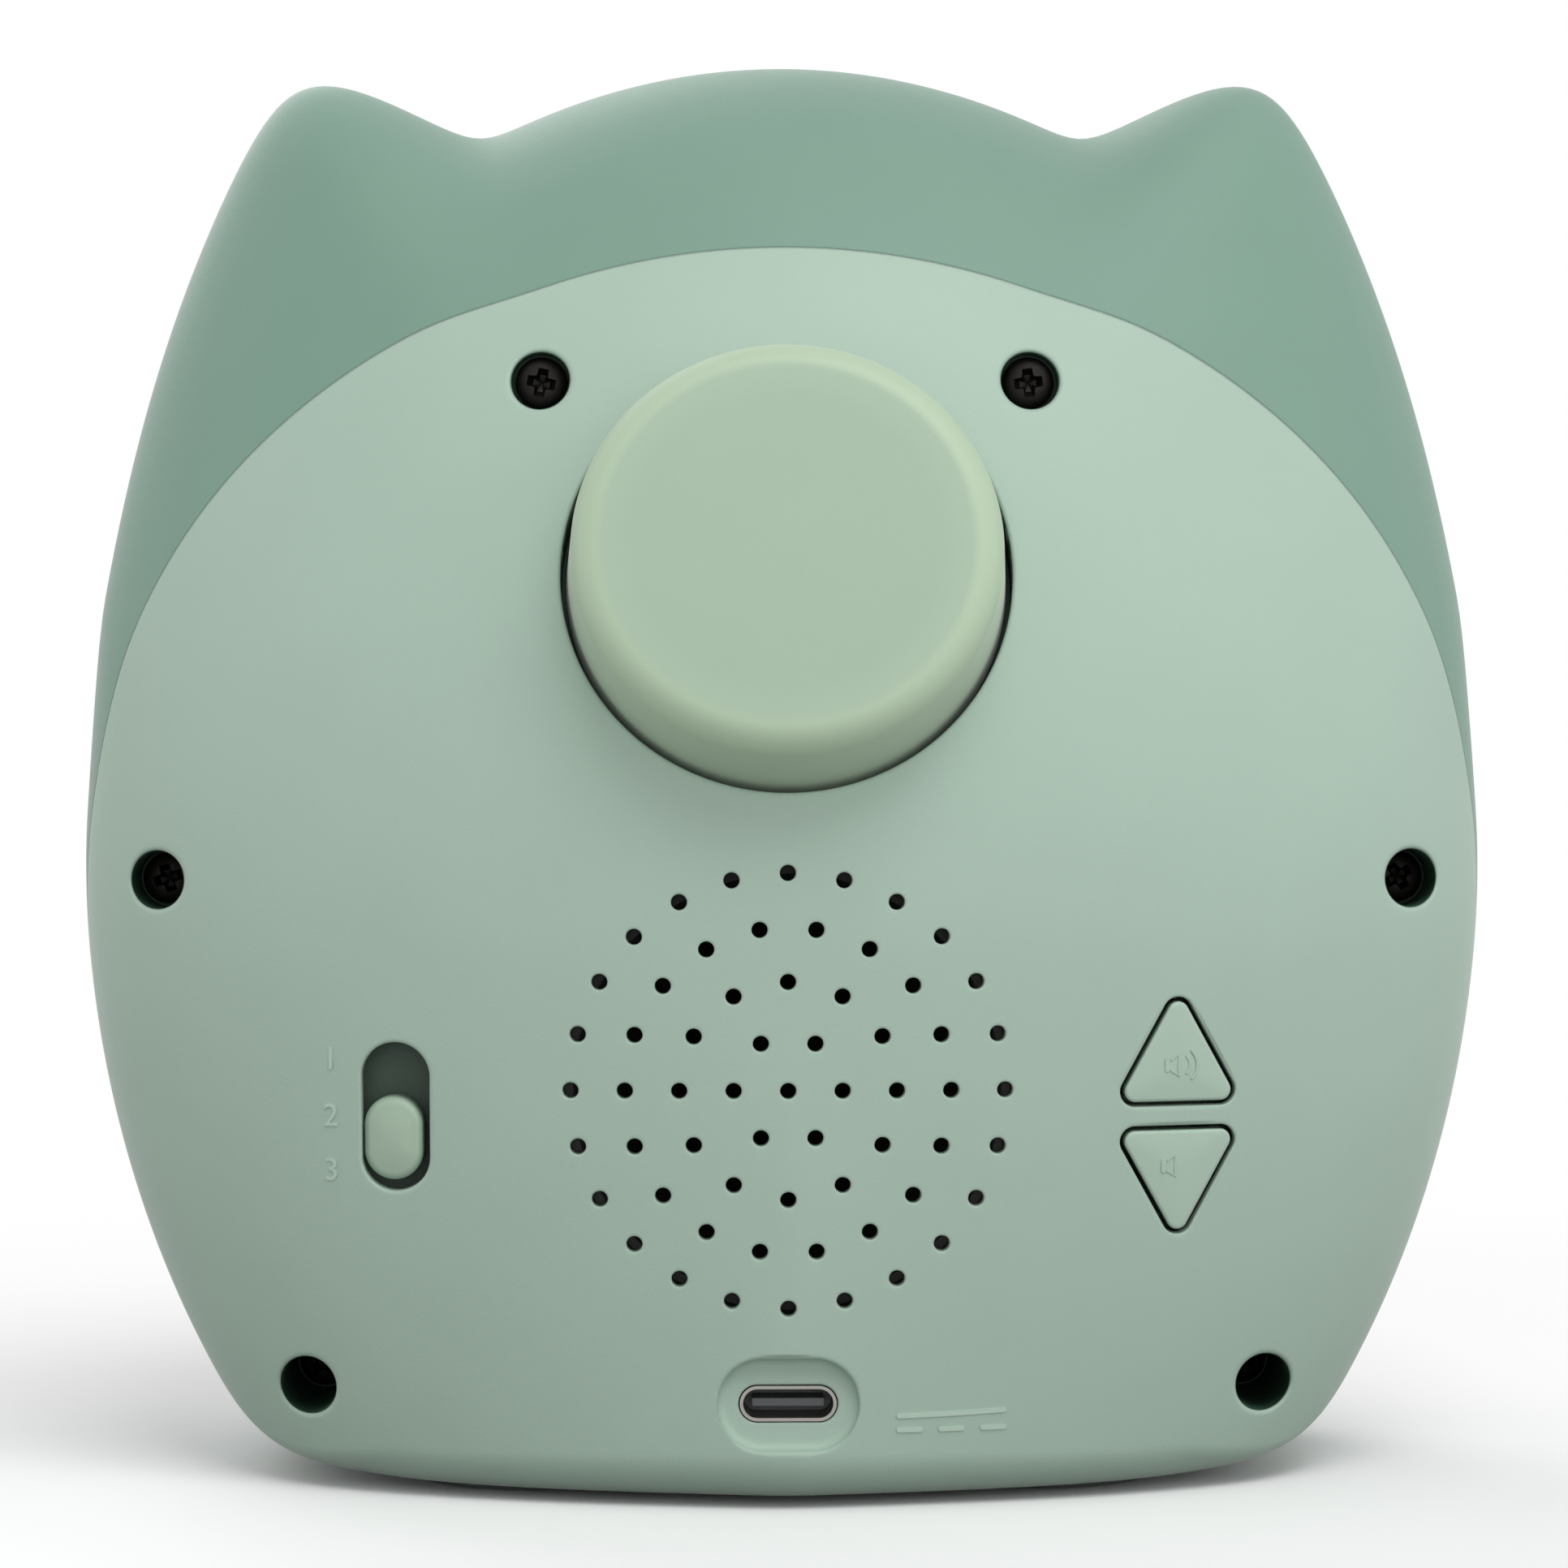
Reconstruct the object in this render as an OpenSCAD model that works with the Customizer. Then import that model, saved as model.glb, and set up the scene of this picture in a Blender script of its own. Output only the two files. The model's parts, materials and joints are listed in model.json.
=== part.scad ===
// Kids alarm clock with night light, built as separate named pieces.
// Millimetres, +Z up, front faces -Y, control side faces +Y.

/* [Body] */
// Width of the body at its widest
body_w = 138; // [134:1:142]
// Height of the head above the standing surface, without the ears
body_h = 139.8; // [138:0.2:141]
// Depth from the flat of the control side to the front
body_d = 72; // [71:0.5:75]
// Wall thickness of both shells
wall = 2.2; // [1.8:0.1:2.5]
// Height of the body floor above the standing surface
floor_z = 0.8; // [0.6:0.1:1.2]
// Rise of the ears' outer sides: larger draws the ears in
ear_draw = 87.8; // [86:0.1:90]
// Seam left between the two shells
seam = 0.1; // [0.05:0.05:0.3]
// Length of the lip that locates the hood
lip = 2; // [1.5:0.25:3]

/* [Knob] */
// Diameter of the well the dial turns in
well_d = 42.1; // [42:0.1:43]
// Running gap between dial and well
well_gap = 0.45; // [0.4:0.05:0.7]
// Height of the dial face above the well's rim
knob_h = 7.8; // [7:0.1:9]
// Roundness of the dial's edge
knob_round = 3.1; // [2:0.1:4]
// Upward tilt of the dial axis
knob_tilt = 16; // [14:0.5:18]
// Stroke of the dial when it is pressed
knob_press = 0.5; // [0.3:0.1:0.6]
// Diameter of the encoder shaft
shaft_d = 6; // [5.5:0.1:6.3]

/* [Speaker] */
// Diameter of one grille hole
hole_d = 1.5; // [1.2:0.1:2]
// Pitch of the grille rings
hole_pitch = 5; // [4.6:0.1:5]
// Outside diameter of the speaker
speaker_d = 45; // [44:0.5:45]

/* [Controls] */
// Width of the slide switch slot
slot_w = 6.5; // [6.25:0.05:6.8]
// Length of the slide switch slot
slot_l = 13.9; // [13.4:0.1:14.4]
// Width of the slide switch cap
cap_w = 5.6; // [5.2:0.1:5.8]
// Length of the slide switch cap
cap_l = 7.8; // [7.4:0.1:8]
// Travel of the slide switch
cap_travel = 4; // [3.6:0.2:4]
// Stroke of the volume buttons
press = 0.4; // [0.3:0.05:0.5]
// Width of a volume button
tri_w = 10.7; // [10.2:0.1:11.2]
// Height of a volume button
tri_h = 10.4; // [10:0.1:10.7]
// Gap round a volume button
tri_gap = 0.45; // [0.3:0.05:0.6]

/* [Fixings] */
// Diameter of the case screw holes
case_hole_d = 5.7; // [5.4:0.1:6]
// Head diameter of the case screws
case_head_d = 4.9; // [4.6:0.1:5]
// Shank diameter of the case screws
case_shank_d = 2.6; // [2.4:0.1:2.9]
// Width of the base pad
pad_w = 72; // [56:1:74]
// Length of the base pad, front to back
pad_l = 44; // [36:1:45]
// Corner radius of the base pad
pad_round = 12; // [6:0.5:16]

/* [Hidden] */

half_w = body_w / 2;
back_y = body_d / 2;
front_y = -body_d / 2;
pole_z = 50;
wide_z = 59.8;
rise_up = body_h - wide_z;
rise_down = 85;
floor_sharp = 30;
ear_in_a = 118.8;
ear_in_d = 56.7;
ear_sharp = 17.2;
ear_join = 55;
ear_start = 0.5;
ear_end = 1.5;
rim_side = body_d / 2;
rim_top = rim_side + 14;
dome_low = 6;
dome_soft = 0.003;
floor_round = 4.4;
front_full = 3.2;
part_z = 118.5;
part_drop = 17.3;
part_tilt = 13;
lip_t = 1.1;
eps = 0.05;
far = 90;

// Smooth step between 0 and 1
function ease(v) = let(u = max(0, min(1, v))) u * u * (3 - 2 * u);
// Radius of an ellipse seen from the pole
function ell_r(c, s, a, b, q) =
  let(k2 = c * c / (a * a) + s * s / (b * b))
  let(k1 = -2 * s * q / (b * b))
  let(k0 = q * q / (b * b) - 1)
  (-k1 + sqrt(max(0, k1 * k1 - 4 * k2 * k0))) / (2 * k2);
// Radius of the outline without ears and without its flat floor, inset by w
function open_r(th, w) =
  let(c = cos(th), s = sin(th), q = wide_z - pole_z)
  let(u = ell_r(c, s, half_w - w, rise_up - w, q))
  let(l = ell_r(c, s, half_w - w, rise_down - w, q))
  u * s > q ? u : l;
// Radius of the head outline on its flat floor, inset by w
function head_r(th, w) =
  let(s = sin(th), f = s < -0.05 ? (pole_z - floor_z - w) / (-s) : 900)
  pow(pow(open_r(th, w), -floor_sharp) + pow(f, -floor_sharp), -1 / floor_sharp);
// Radius of the outline with its ears, inset by w
function eared_r(th, w) =
  let(t = atan2(sin(th), abs(cos(th))), h = head_r(th, w))
  let(a = half_w * (1 + pow(t / ear_draw, 2)) - w)
  let(b = (ear_in_d - w) / max(0.05, cos(t - ear_in_a)))
  let(e = pow(pow(a, -ear_sharp) + pow(b, -ear_sharp), -1 / ear_sharp))
  let(m = pow(pow(h, ear_join) + pow(e, ear_join), 1 / ear_join))
  h + (m - h) * ease((t - 12) / 16);
// Depth of the widest outline behind the flat of the control side
function rim_b(th) = rim_side + (rim_top - rim_side) * pow(max(0, sin(th)), 2);
// Depth over which the control side domes, nearly flat down to the floor
function dome_b(th) = sin(th) >= 0 ? rim_b(th) :
  dome_low + (rim_side - dome_low) * (soft_cos(th) - pow(dome_soft, 0.4)) /
  (pow(1 + dome_soft, 0.4) - pow(dome_soft, 0.4));
function soft_cos(th) = pow(pow(cos(th), 2) + dome_soft, 0.4);
// Drop of the dome at radius r
function dome(r, b, o) = b * (1 - sqrt(max(0, 1 - pow(r / o, 2))));
// Point of the control side: t runs 0 at the pole to 1 at the widest outline
function back_pt(th, t, w) =
  let(b = rim_b(th) - w, h = head_r(th, w), o = open_r(th, w), d = max(0.3, dome_b(th) - w))
  let(f = max(1, floor_round - w) * ease((1 - h / o) * 8))
  let(d1 = min(b, dome(h, d, o) + f), t1 = 1 - 0.6 * (b - d1) / b)
  let(r = h * sin(90 * min(1, t / t1)))
  let(v = f > 0.001 ? max(0, min(1, (r - h + f) / f)) : 0)
  t < t1 ? [r, dome(r, d, o) + f * (1 - sqrt(max(0, 1 - v * v)))] :
  [h, d1 + (b - d1) * (t - t1) / max(0.000001, 1 - t1)];
// Fullness of the front, squarer towards the floor
function front_n(th) = front_full + 6 * pow(max(0, (-sin(th) - 0.5) / 0.5), 1.5);
// Value of t on the front at a share of the outline's radius
function front_t(th, rho) = 2 - asin(pow(rho, front_n(th) / 2)) / 90;
// Point of the body skin: t runs 0 control side, 1 widest, 2 front
function skin(th, t, w) =
  let(b = rim_b(th), back = t <= 1, h = head_r(th, w))
  let(rd = back ? back_pt(th, t, w) : [h * pow(abs(sin(t * 90)), 2 / front_n(th)), 0])
  let(y = back ? back_y - w - rd[1] :
    back_y - b - (body_d - b - w) * pow(abs(cos(t * 90)), 2 / front_n(th)))
  let(k = back ? ease((t - ear_start) / (1 - ear_start)) : ease((ear_end - t) / 0.4))
  let(r = rd[0] * (1 + (eared_r(th, w) / h - 1) * k))
  [r * cos(th), y, pole_z + r * sin(th)];
// Height of the control side's skin over x, z
function skin_y(x, z) =
  let(th = atan2(z - pole_z, x), r = norm([x, z - pole_z]))
  let(h = head_r(th, 0), o = open_r(th, 0), f = floor_round * ease((1 - h / o) * 8))
  let(v = f > 0.001 ? max(0, min(1, (r - h + f) / f)) : 0)
  back_y - dome(r, max(0.3, dome_b(th)), o) - f * (1 - sqrt(max(0, 1 - v * v)));
// Parting plane between the shells
function part_y(z) = back_y - part_drop - (part_z - z) * tan(part_tilt);
function find_t(th, w, off, lo, hi, n) =
  n == 0 ? (lo + hi) / 2 :
  let(m = (lo + hi) / 2, p = skin(th, m, w))
  p[1] > part_y(p[2]) + off ? find_t(th, w, off, m, hi, n - 1) : find_t(th, w, off, lo, m, n - 1);
function part_t(th, w, off) = find_t(th, w, off, 0, 1.45, 22);

half_turn = concat([for (i = [0:4]) -90 + i * 35 / 5], [for (i = [0:9]) -55 + i * 25 / 10],
  [for (i = [0:8]) -30 + i * 60 / 9], [for (i = [0:19]) 30 + i * 45 / 20], [for (i = [0:4]) 75 + i * 15 / 4]);
turns = concat(half_turn, [for (i = [len(half_turn) - 2:-1:1]) 180 - half_turn[i]]);
count = len(turns);

function ring_at(rho, w) = [for (a = turns) skin(a, front_t(a, rho), w)];
function face_ring(rho, w, f) = [for (a = turns) skin(a, 2 - (2 - front_t(a, rho)) * f, w)];
function part_ring(w, off) = [for (a = turns) skin(a, part_t(a, w, off), w)];
// Where the floor's rounding ends, as a value of t
function flat_t(th, w) =
  let(b = rim_b(th) - w, h = head_r(th, w), o = open_r(th, w), d = max(0.3, dome_b(th) - w))
  let(f = max(1, floor_round - w) * ease((1 - h / o) * 8))
  1 - 0.6 * (b - min(b, dome(h, d, o) + f)) / b;
function between(w, off, f) = [for (a = turns)
  let(p = part_t(a, w, off), q = min(flat_t(a, w), p * 0.85))
  skin(a, f < 0.7 ? q * f / 0.7 : q + (p - q) * (f - 0.7) / 0.3, w)];
outer_steps = [0.08, 0.17, 0.27, 0.37, 0.46, 0.54, 0.6, 0.65, 0.7, 0.8, 0.9, 1];
inner_steps = [0.12, 0.26, 0.4, 0.54, 0.64, 0.7, 0.85, 1];
function ahead(w, off, rho, f) = [for (a = turns)
  let(t0 = part_t(a, w, off)) skin(a, t0 + (front_t(a, rho) - t0) * f, w)];
function flat_list(rs) = [for (r = rs) for (p = r) p];
function band(k0, k1) = [for (i = [0:count - 1])
  let(j = (i + 1) % count)
  for (f = [[k0 * count + i, k1 * count + j, k0 * count + j],
    [k0 * count + i, k1 * count + i, k1 * count + j]]) f];
function fan(k, p, rev) = [for (i = [0:count - 1])
  let(j = (i + 1) % count)
  rev ? [p, k * count + i, k * count + j] : [p, k * count + j, k * count + i]];

// Closed body from one pole, through rings, to the other
module lathe_like(p0, rs, p1) {
  n = len(rs);
  polyhedron(points = concat(flat_list(rs), [p0, p1]),
    faces = concat(fan(0, n * count, true), [for (k = [0:n - 2]) for (f = band(k, k + 1)) f],
      fan(n - 1, n * count + 1, false)), convexity = 6);
}
// Closed ring-shaped body through rings
module hoop(rs) {
  n = len(rs);
  polyhedron(points = flat_list(rs),
    faces = [for (k = [0:n - 1]) for (f = band(k, (k + 1) % n)) f], convexity = 6);
}
// Solid filled out to the skin from the control side to the parting plane
module skin_solid(w, off) {
  rs = [for (f = inner_steps) between(w, off, f)];
  lathe_like([0, back_y - w, pole_z], rs, [0, part_y(pole_z) + off, pole_z]);
}
// Moves things to a place on the control side, with +Z pointing out of it
module facing(x, y, z) {
  translate([x, y, z])
    rotate([-90, 0, 0])
      children();
}
module stadium(w, l) {
  square([w, l - w], center = true);
  for (s = [-1, 1])
    translate([0, s * (l - w) / 2])
      circle(d = w, $fn = 48);
}
module slab(x0, x1, y0, y1, z0, z1) {
  translate([x0, y0, z0])
    cube([x1 - x0, y1 - y0, z1 - z0]);
}
// Rounded rectangle in the XZ plane, extruded from y0 to y1
module plate(cx, cz, w, h, r, y0, y1) {
  facing(cx, y0, cz)
    linear_extrude(height = y1 - y0)
      rounded(w, h, r);
}
module rounded(w, h, r) {
  square([w - 2 * r, h], center = true);
  square([w, h - 2 * r], center = true);
  for (x = [-1, 1], y = [-1, 1])
    translate([x * (w / 2 - r), y * (h / 2 - r)])
      circle(r = r, $fn = 40);
}
module rod(x, z, d, y0, y1) {
  facing(x, y0, z)
    cylinder(d = d, h = y1 - y0, $fn = 48);
}
// Screw along Y with its head towards the control side
module screw(x, z, head_y, head_d, head_t, shank_d, shank_l) {
  difference() {
    union() {
      rod(x, z, head_d, head_y - head_t, head_y);
      rod(x, z, shank_d, head_y - head_t - shank_l, head_y - head_t + eps);
    }
    for (a = [0, 90])
      translate([x, head_y, z])
        rotate([0, a, 0])
          cube([head_d * 0.55, head_t, head_d * 0.16], center = true);
  }
}

screw_x = [half_w * 0.3355, half_w * 0.869, half_w * 0.6565];
screw_z = [105, 57.8, 10];
screw_seat = [back_y - 15.6, back_y - 27, back_y - 33];
case_places = [for (i = [0:2]) for (s = [-1, 1]) [s * screw_x[i], screw_z[i], screw_seat[i]]];
case_head_t = 2;
boss_d = 9;
shank_l = 13;
shank_gap = 0.15;

/* Rear shell */
knob_y = back_y - 4.4;
well_floor = 7;
floor_t = 2;
well_wall = 2.2;
well_clear = 3.45;
spk_z = 38.7;
knob_z = spk_z + speaker_d / 2 + well_clear + (well_d / 2 + well_wall) * cos(knob_tilt);
bush_d = 7;
slot_x = half_w * 0.5275;
slot_z = 36;
tri_x = -half_w * 0.527;
tri_up_z = 37.3;
tri_down_z = 34.6;
tri_r = 1;
spk_low = min([for (a = [0:15:345]) skin_y(speaker_d / 2 * cos(a), spk_z + speaker_d / 2 * sin(a))]);
ledge_y = spk_low - wall - 0.3;
collar_y = ledge_y - 7;
collar_wall = 2.3;
spk_gap = 0.25;
post_r = 27.5;
post_d = 5.4;
spk_places = [for (a = [45, 135, 225, 315]) [post_r * cos(a), spk_z + post_r * sin(a)]];
board_y = back_y - 18;
board_t = 1.6;
ctl_w = 16;
ctl_h = 42;
ctl_x = half_w * 0.55;
ctl_screw_z = [19, 53.4];
ctl_places = [for (s = [-1, 1]) for (z = ctl_screw_z) [s * ctl_x, z]];
usb_z = 9.75;
usb_y = back_y - 2.6;
usb_w = 8.94;
usb_h = 3.26;
usb_gap = 0.12;
usb_board_t = 1.2;
usb_post_x = 9;
usb_post_y = usb_y - 16.4;
cut_from = back_y - 21;

module at_knob() {
  translate([0, knob_y, knob_z])
    rotate([knob_tilt - 90, 0, 0])
      children();
}
// Rounded triangle, apex up, base on the X axis
module tri(g) {
  r = tri_r + g;
  offset_r = tri_r;
  a = [0, tri_h - offset_r * 2.1];
  b = [-tri_w / 2 + offset_r * 1.25, offset_r];
  c = [tri_w / 2 - offset_r * 1.25, offset_r];
  n1 = [a[1] - b[1], b[0] - a[0]] / norm(a - b);
  union() {
    polygon([b + r * [-n1[0], -n1[1]], a + r * [-n1[0], -n1[1]], a, a + r * [n1[0], -n1[1]],
      c + r * [n1[0], -n1[1]], c, c - [0, r], b - [0, r], b]);
    for (p = [a, b, c])
      translate(p)
        circle(r = r, $fn = 48);
  }
}
// Triangle prisms along Y: up button or down button
module tri_prism(up, g, y0, y1) {
  translate([tri_x, y0, up ? tri_up_z : tri_down_z])
    rotate([-90, 0, 0])
      linear_extrude(height = y1 - y0)
        scale([1, up ? -1 : 1])
          tri(g);
}
module rear_inner() {
  for (p = case_places)
    rod(p[0], p[1], boss_d, -far, far);
  at_knob()
    translate([0, 0, -well_floor - floor_t])
      cylinder(d = well_d + 2 * well_wall, h = far, $fn = 96);
  difference() {
    rod(0, spk_z, speaker_d + 2 * (spk_gap + collar_wall), collar_y, far);
    rod(0, spk_z, speaker_d + 2 * spk_gap, collar_y - 1, ledge_y);
    rod(0, spk_z, speaker_d - 3.6, collar_y - 1, far);
  }
  for (p = spk_places)
    rod(p[0], p[1], post_d, collar_y, far);
  for (p = ctl_places)
    rod(p[0], p[1], 5, board_y, far);
  slab(-9.5, 9.5, usb_y - 3, far, 0, 15.6);
}
module rear_shell() {
  color("#a9bcae")
    difference() {
      union() {
        rear_skin();
        intersection() {
          rear_inner();
          skin_solid(wall * 0.4, 0.2);
        }
        for (s = [-1, 1])
          translate([s * usb_post_x, usb_post_y, floor_z + wall / 2])
            cylinder(d = 4.4, h = usb_low - floor_z - wall / 2, $fn = 40);
      }
      for (p = case_places) {
        rod(p[0], p[1], case_hole_d, p[2] - case_head_t, far);
        rod(p[0], p[1], case_shank_d + 2 * shank_gap, -far, far);
      }
      at_knob() {
        translate([0, 0, -well_floor])
          cylinder(d = well_d, h = far, $fn = 96);
        translate([0, 0, -well_floor - floor_t - 1])
          cylinder(d = bush_d + 0.2, h = floor_t + 2, $fn = 48);
      }
      rod(0, spk_z, hole_d, ledge_y - 1, far);
      for (k = [1:4])
        for (i = [0:grille_n[k] - 1])
          rod(k * hole_pitch * cos(i * 360 / grille_n[k]),
            spk_z + k * hole_pitch * sin(i * 360 / grille_n[k]), hole_d, ledge_y - 3, far);
      for (p = spk_places)
        rod(p[0], p[1], 1.7, collar_y - 1, collar_y + 5);
      for (p = ctl_places)
        rod(p[0], p[1], 1.7, board_y - 1, board_y + 5);
      facing(slot_x, cut_from, slot_z)
        linear_extrude(height = far)
          stadium(slot_w, slot_l);
      tri_prism(true, tri_gap, cut_from, far);
      tri_prism(false, tri_gap, cut_from, far);
      facing(0, usb_y, usb_z)
        linear_extrude(height = far)
          stadium_x(13.1, 8.6);
      facing(0, usb_y - 13.4, usb_z)
        linear_extrude(height = far)
          stadium_x(usb_w + 2 * usb_gap, usb_h + 2 * usb_gap);
      for (s = [-1, 1])
        translate([s * usb_post_x, usb_post_y, usb_low - 3])
          cylinder(d = 1.5, h = 4, $fn = 32);
      pad_pocket();
    }
}
grille_n = [1, 6, 12, 18, 24];
usb_low = usb_z - usb_h / 2 - usb_board_t;
module stadium_x(l, w) {
  rotate(90)
    stadium(w, l);
}
module rear_skin() {
  outer = [for (f = outer_steps) between(0, 0, f)];
  inner = [for (k = [len(inner_steps) - 1:-1:0]) between(wall, -lip, inner_steps[k])];
  lathe_like([0, back_y, pole_z],
    concat(outer, [part_ring(wall - lip_t, 0)], [part_ring(wall - lip_t, -lip)], inner),
    [0, back_y - wall, pole_z]);
}

/* Hood */
open_rho = 0.8;
rib_a = [for (p = case_places) atan2(p[1] - pole_z, p[0])];
module hood() {
  color("#86a294")
    difference() {
      union() {
        hoop(concat([part_ring(0, -seam)], [for (k = [1:9]) ahead(0, -seam, open_rho, k / 9)],
          [ring_at(open_rho, wall)],
          [for (k = [6:-1:0]) ahead(wall, -lip - seam, open_rho + 0.01, k / 6)],
          [part_ring(wall - lip_t - seam, -lip - seam)],
          [part_ring(wall - lip_t - seam, -seam)]));
        for (p = case_places)
          hood_post(p);
        for (p = chassis_places)
          chassis_post(p);
      }
      for (p = case_places)
        rod(p[0], p[1], case_shank_d, p[2] - case_head_t - shank_l - 0.3, far);
      for (p = chassis_places)
        rod(p[0], p[1], 1.9, post_y + 0.5, 0);
      pad_pocket();
    }
}
// Screw post with a gusset that runs into the wall
module hood_post(p) {
  y1 = part_y(p[1] - boss_d / 2) - lip - 0.3;
  y0 = p[2] - case_head_t - shank_l - 1;
  a = atan2(p[1] - pole_z, p[0]);
  r = norm([p[0], p[1] - pole_z]);
  rod(p[0], p[1], boss_d - 2.6, y0, y1 - 0.5);
  gusset(a, r, y0 + 0.2, y1 - 0.8);
}
// Radial plate between radius r and the wall, from y0 to y1
module gusset(a, r, y0, y1) {
  ts = [for (k = [0:8]) t_at(a, y1) + (t_at(a, y0) - t_at(a, y1)) * k / 8];
  pts = [for (t = ts) let(s = skin(a, t, wall / 2)) [norm([s[0], s[2] - pole_z]), s[1]]];
  translate([0, 0, pole_z])
    rotate([0, -a, 0])
      translate([0, 0, -1])
        linear_extrude(height = 2)
          polygon(concat([[r, pts[0][1]]], pts, [[r, pts[8][1]]]));
}
function find_y(a, y, lo, hi, n) = n == 0 ? (lo + hi) / 2 :
  let(m = (lo + hi) / 2)
  skin(a, m, wall / 2)[1] > y ? find_y(a, y, m, hi, n - 1) : find_y(a, y, lo, m, n - 1);
function t_at(a, y) = find_y(a, y, 0, 1.98, 22);

/* Front */
disp_z = 42;
disp_w = 62;
disp_h = 25;
disp_r = 6;
win_gap = 0.1;
eye_x = 21;
eye_z = 79;
eye_d = 10;
nose_z = 67;
nose_d = 13;
trim_in = 1.3;
chassis_y = front_y + 22;
chassis_t = 2;
box_t = 0.745;
post_y = front_y + 13.5;
disp_board_y = front_y + 12.4;
module_y = front_y + 5.1;
main_y = chassis_y + 3.6;
main_places = [[34, 28], [-34, 28], [34, 76], [-34, 76]];
disp_places = [for (x = [-29, 29], z = [-9.5, 9.5]) [x, disp_z + z]];
chassis_places = [for (a = [-24, 18, 58, 122, 162, 204]) let(r = head_r(a, 0) * 0.83)
  [r * cos(a), pole_z + r * sin(a)]];
module chassis_post(p) {
  a = atan2(p[1] - pole_z, p[0]);
  r = norm([p[0], p[1] - pole_z]);
  rod(p[0], p[1], 6.4, post_y, chassis_y - chassis_t);
  gusset(a, r + 1.5, post_y + 0.4, chassis_y - chassis_t - 0.3);
}
function outline(f, g) = [for (a = turns) let(r = head_r(a, 0) * f - g)
  [r * cos(a), r * sin(a)]];
module ring_prism(f, g, y0, y1) {
  translate([0, y1, pole_z])
    rotate([90, 0, 0])
      linear_extrude(height = y1 - y0)
        polygon(outline(f, g));
}
module diffuser() {
  color("#f2efe6")
    difference() {
      lathe_like([0, front_y, pole_z],
        concat([for (k = [1:5]) face_ring(open_rho - 0.006, 0, k / 5)],
          [ring_at(open_rho - 0.006, wall + 0.2)], [ring_at(flange_rho, wall + 0.2)],
          [for (k = [4:-1:1]) face_ring(flange_rho, wall + 1.4, k / 4)]),
        [0, front_y + wall + 1.4, pole_z]);
      plate(0, disp_z, disp_w + 2 * win_gap, disp_h + 2 * win_gap, disp_r + win_gap, -far, 0);
      for (s = [-1, 1]) {
        rod(s * eye_x, eye_z, 4, -far, 0);
        rod(s * eye_x, eye_z, eye_d + 0.2, -far, front_y + trim_in);
      }
      rod(0, nose_z, 4, -far, 0);
      facing(0, -far, nose_z)
        linear_extrude(height = far + front_y + trim_in)
          stadium_x(nose_d + 0.2, nose_d * 0.6 + 0.2);
    }
}
flange_rho = 0.85;
module display_window() {
  color("#1c2226")
    union() {
      plate(0, disp_z, disp_w, disp_h, disp_r, front_y - 0.2, front_y + wall + 1.4);
      plate(0, disp_z, disp_w - 1, disp_h - 1, disp_r - 0.5, front_y - 0.6, front_y);
    }
}
module eye(x) {
  color("#26302b")
    union() {
      intersection() {
        rod(x, eye_z, eye_d, front_y - 2, front_y + trim_in);
        translate([x, front_y + 7.2, eye_z])
          sphere(r = 9, $fn = 64);
      }
      rod(x, eye_z, 3.8, front_y + trim_in - 0.5, front_y + 4.6);
    }
}
module left_eye() {
  eye(eye_x);
}
module right_eye() {
  eye(-eye_x);
}
module nose() {
  color("#26302b")
    union() {
      facing(0, front_y - 1.2, nose_z)
        linear_extrude(height = 1.2 + trim_in)
          stadium_x(nose_d, nose_d * 0.6);
      rod(0, nose_z, 3.8, front_y + trim_in - 0.5, front_y + 4.6);
    }
}
module chassis() {
  color("#eef0ea")
    difference() {
      union() {
        difference() {
          ring_prism(0.88, 0, chassis_y - chassis_t, chassis_y);
          slab(-far, far, -far, far, 117.5, 160);
        }
        difference() {
          ring_prism(box_t, 0, front_y + 10.6, chassis_y - 1);
          ring_prism(box_t, 1.6, -far, 0);
        }
        for (p = disp_places)
          rod(p[0], p[1], 5, disp_board_y, chassis_y - 1);
        for (p = main_places)
          rod(p[0], p[1], 5, chassis_y - 1, main_y);
      }
      rod(0, 108, 14, -far, 0);
      for (p = chassis_places)
        rod(p[0], p[1], 2.5, -far, 0);
      for (p = main_places)
        rod(p[0], p[1], 1.7, chassis_y - 1.2, 0);
      for (p = disp_places)
        rod(p[0], p[1], 1.7, -far, chassis_y - 3);
    }
}
led_w = 64;
led_h = 40;
led_z = 82;
led_t = 1.2;
module led_board() {
  color("#e8ebe6")
    plate(0, led_z, led_w, led_h, 2, chassis_y - chassis_t - led_t, chassis_y - chassis_t);
}
module night_light_leds() {
  color("#f4e7a8")
    for (x = [-1.5:1.5], z = [-1:1])
      difference() {
        plate(x * 15, led_z + z * 13, 5, 5, 0.5, chassis_y - chassis_t - led_t - 1.6,
          chassis_y - chassis_t - led_t);
        rod(x * 15, led_z + z * 13, 3.8, chassis_y - 12, chassis_y - chassis_t - led_t - 1.2);
      }
}
module display_board() {
  color("#2f5d45")
    difference() {
      plate(0, disp_z, 64, 25, 1.5, disp_board_y - board_t, disp_board_y);
      for (p = disp_places)
        rod(p[0], p[1], 2.3, -far, 0);
    }
}
mod_w = 54;
mod_h = 20;
module display_module() {
  color("#17191b")
    union() {
      plate(0, disp_z, mod_w, mod_h, 1, module_y, disp_board_y - board_t);
      for (p = disp_places)
        screw_front(p, disp_board_y - board_t);
    }
}
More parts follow.
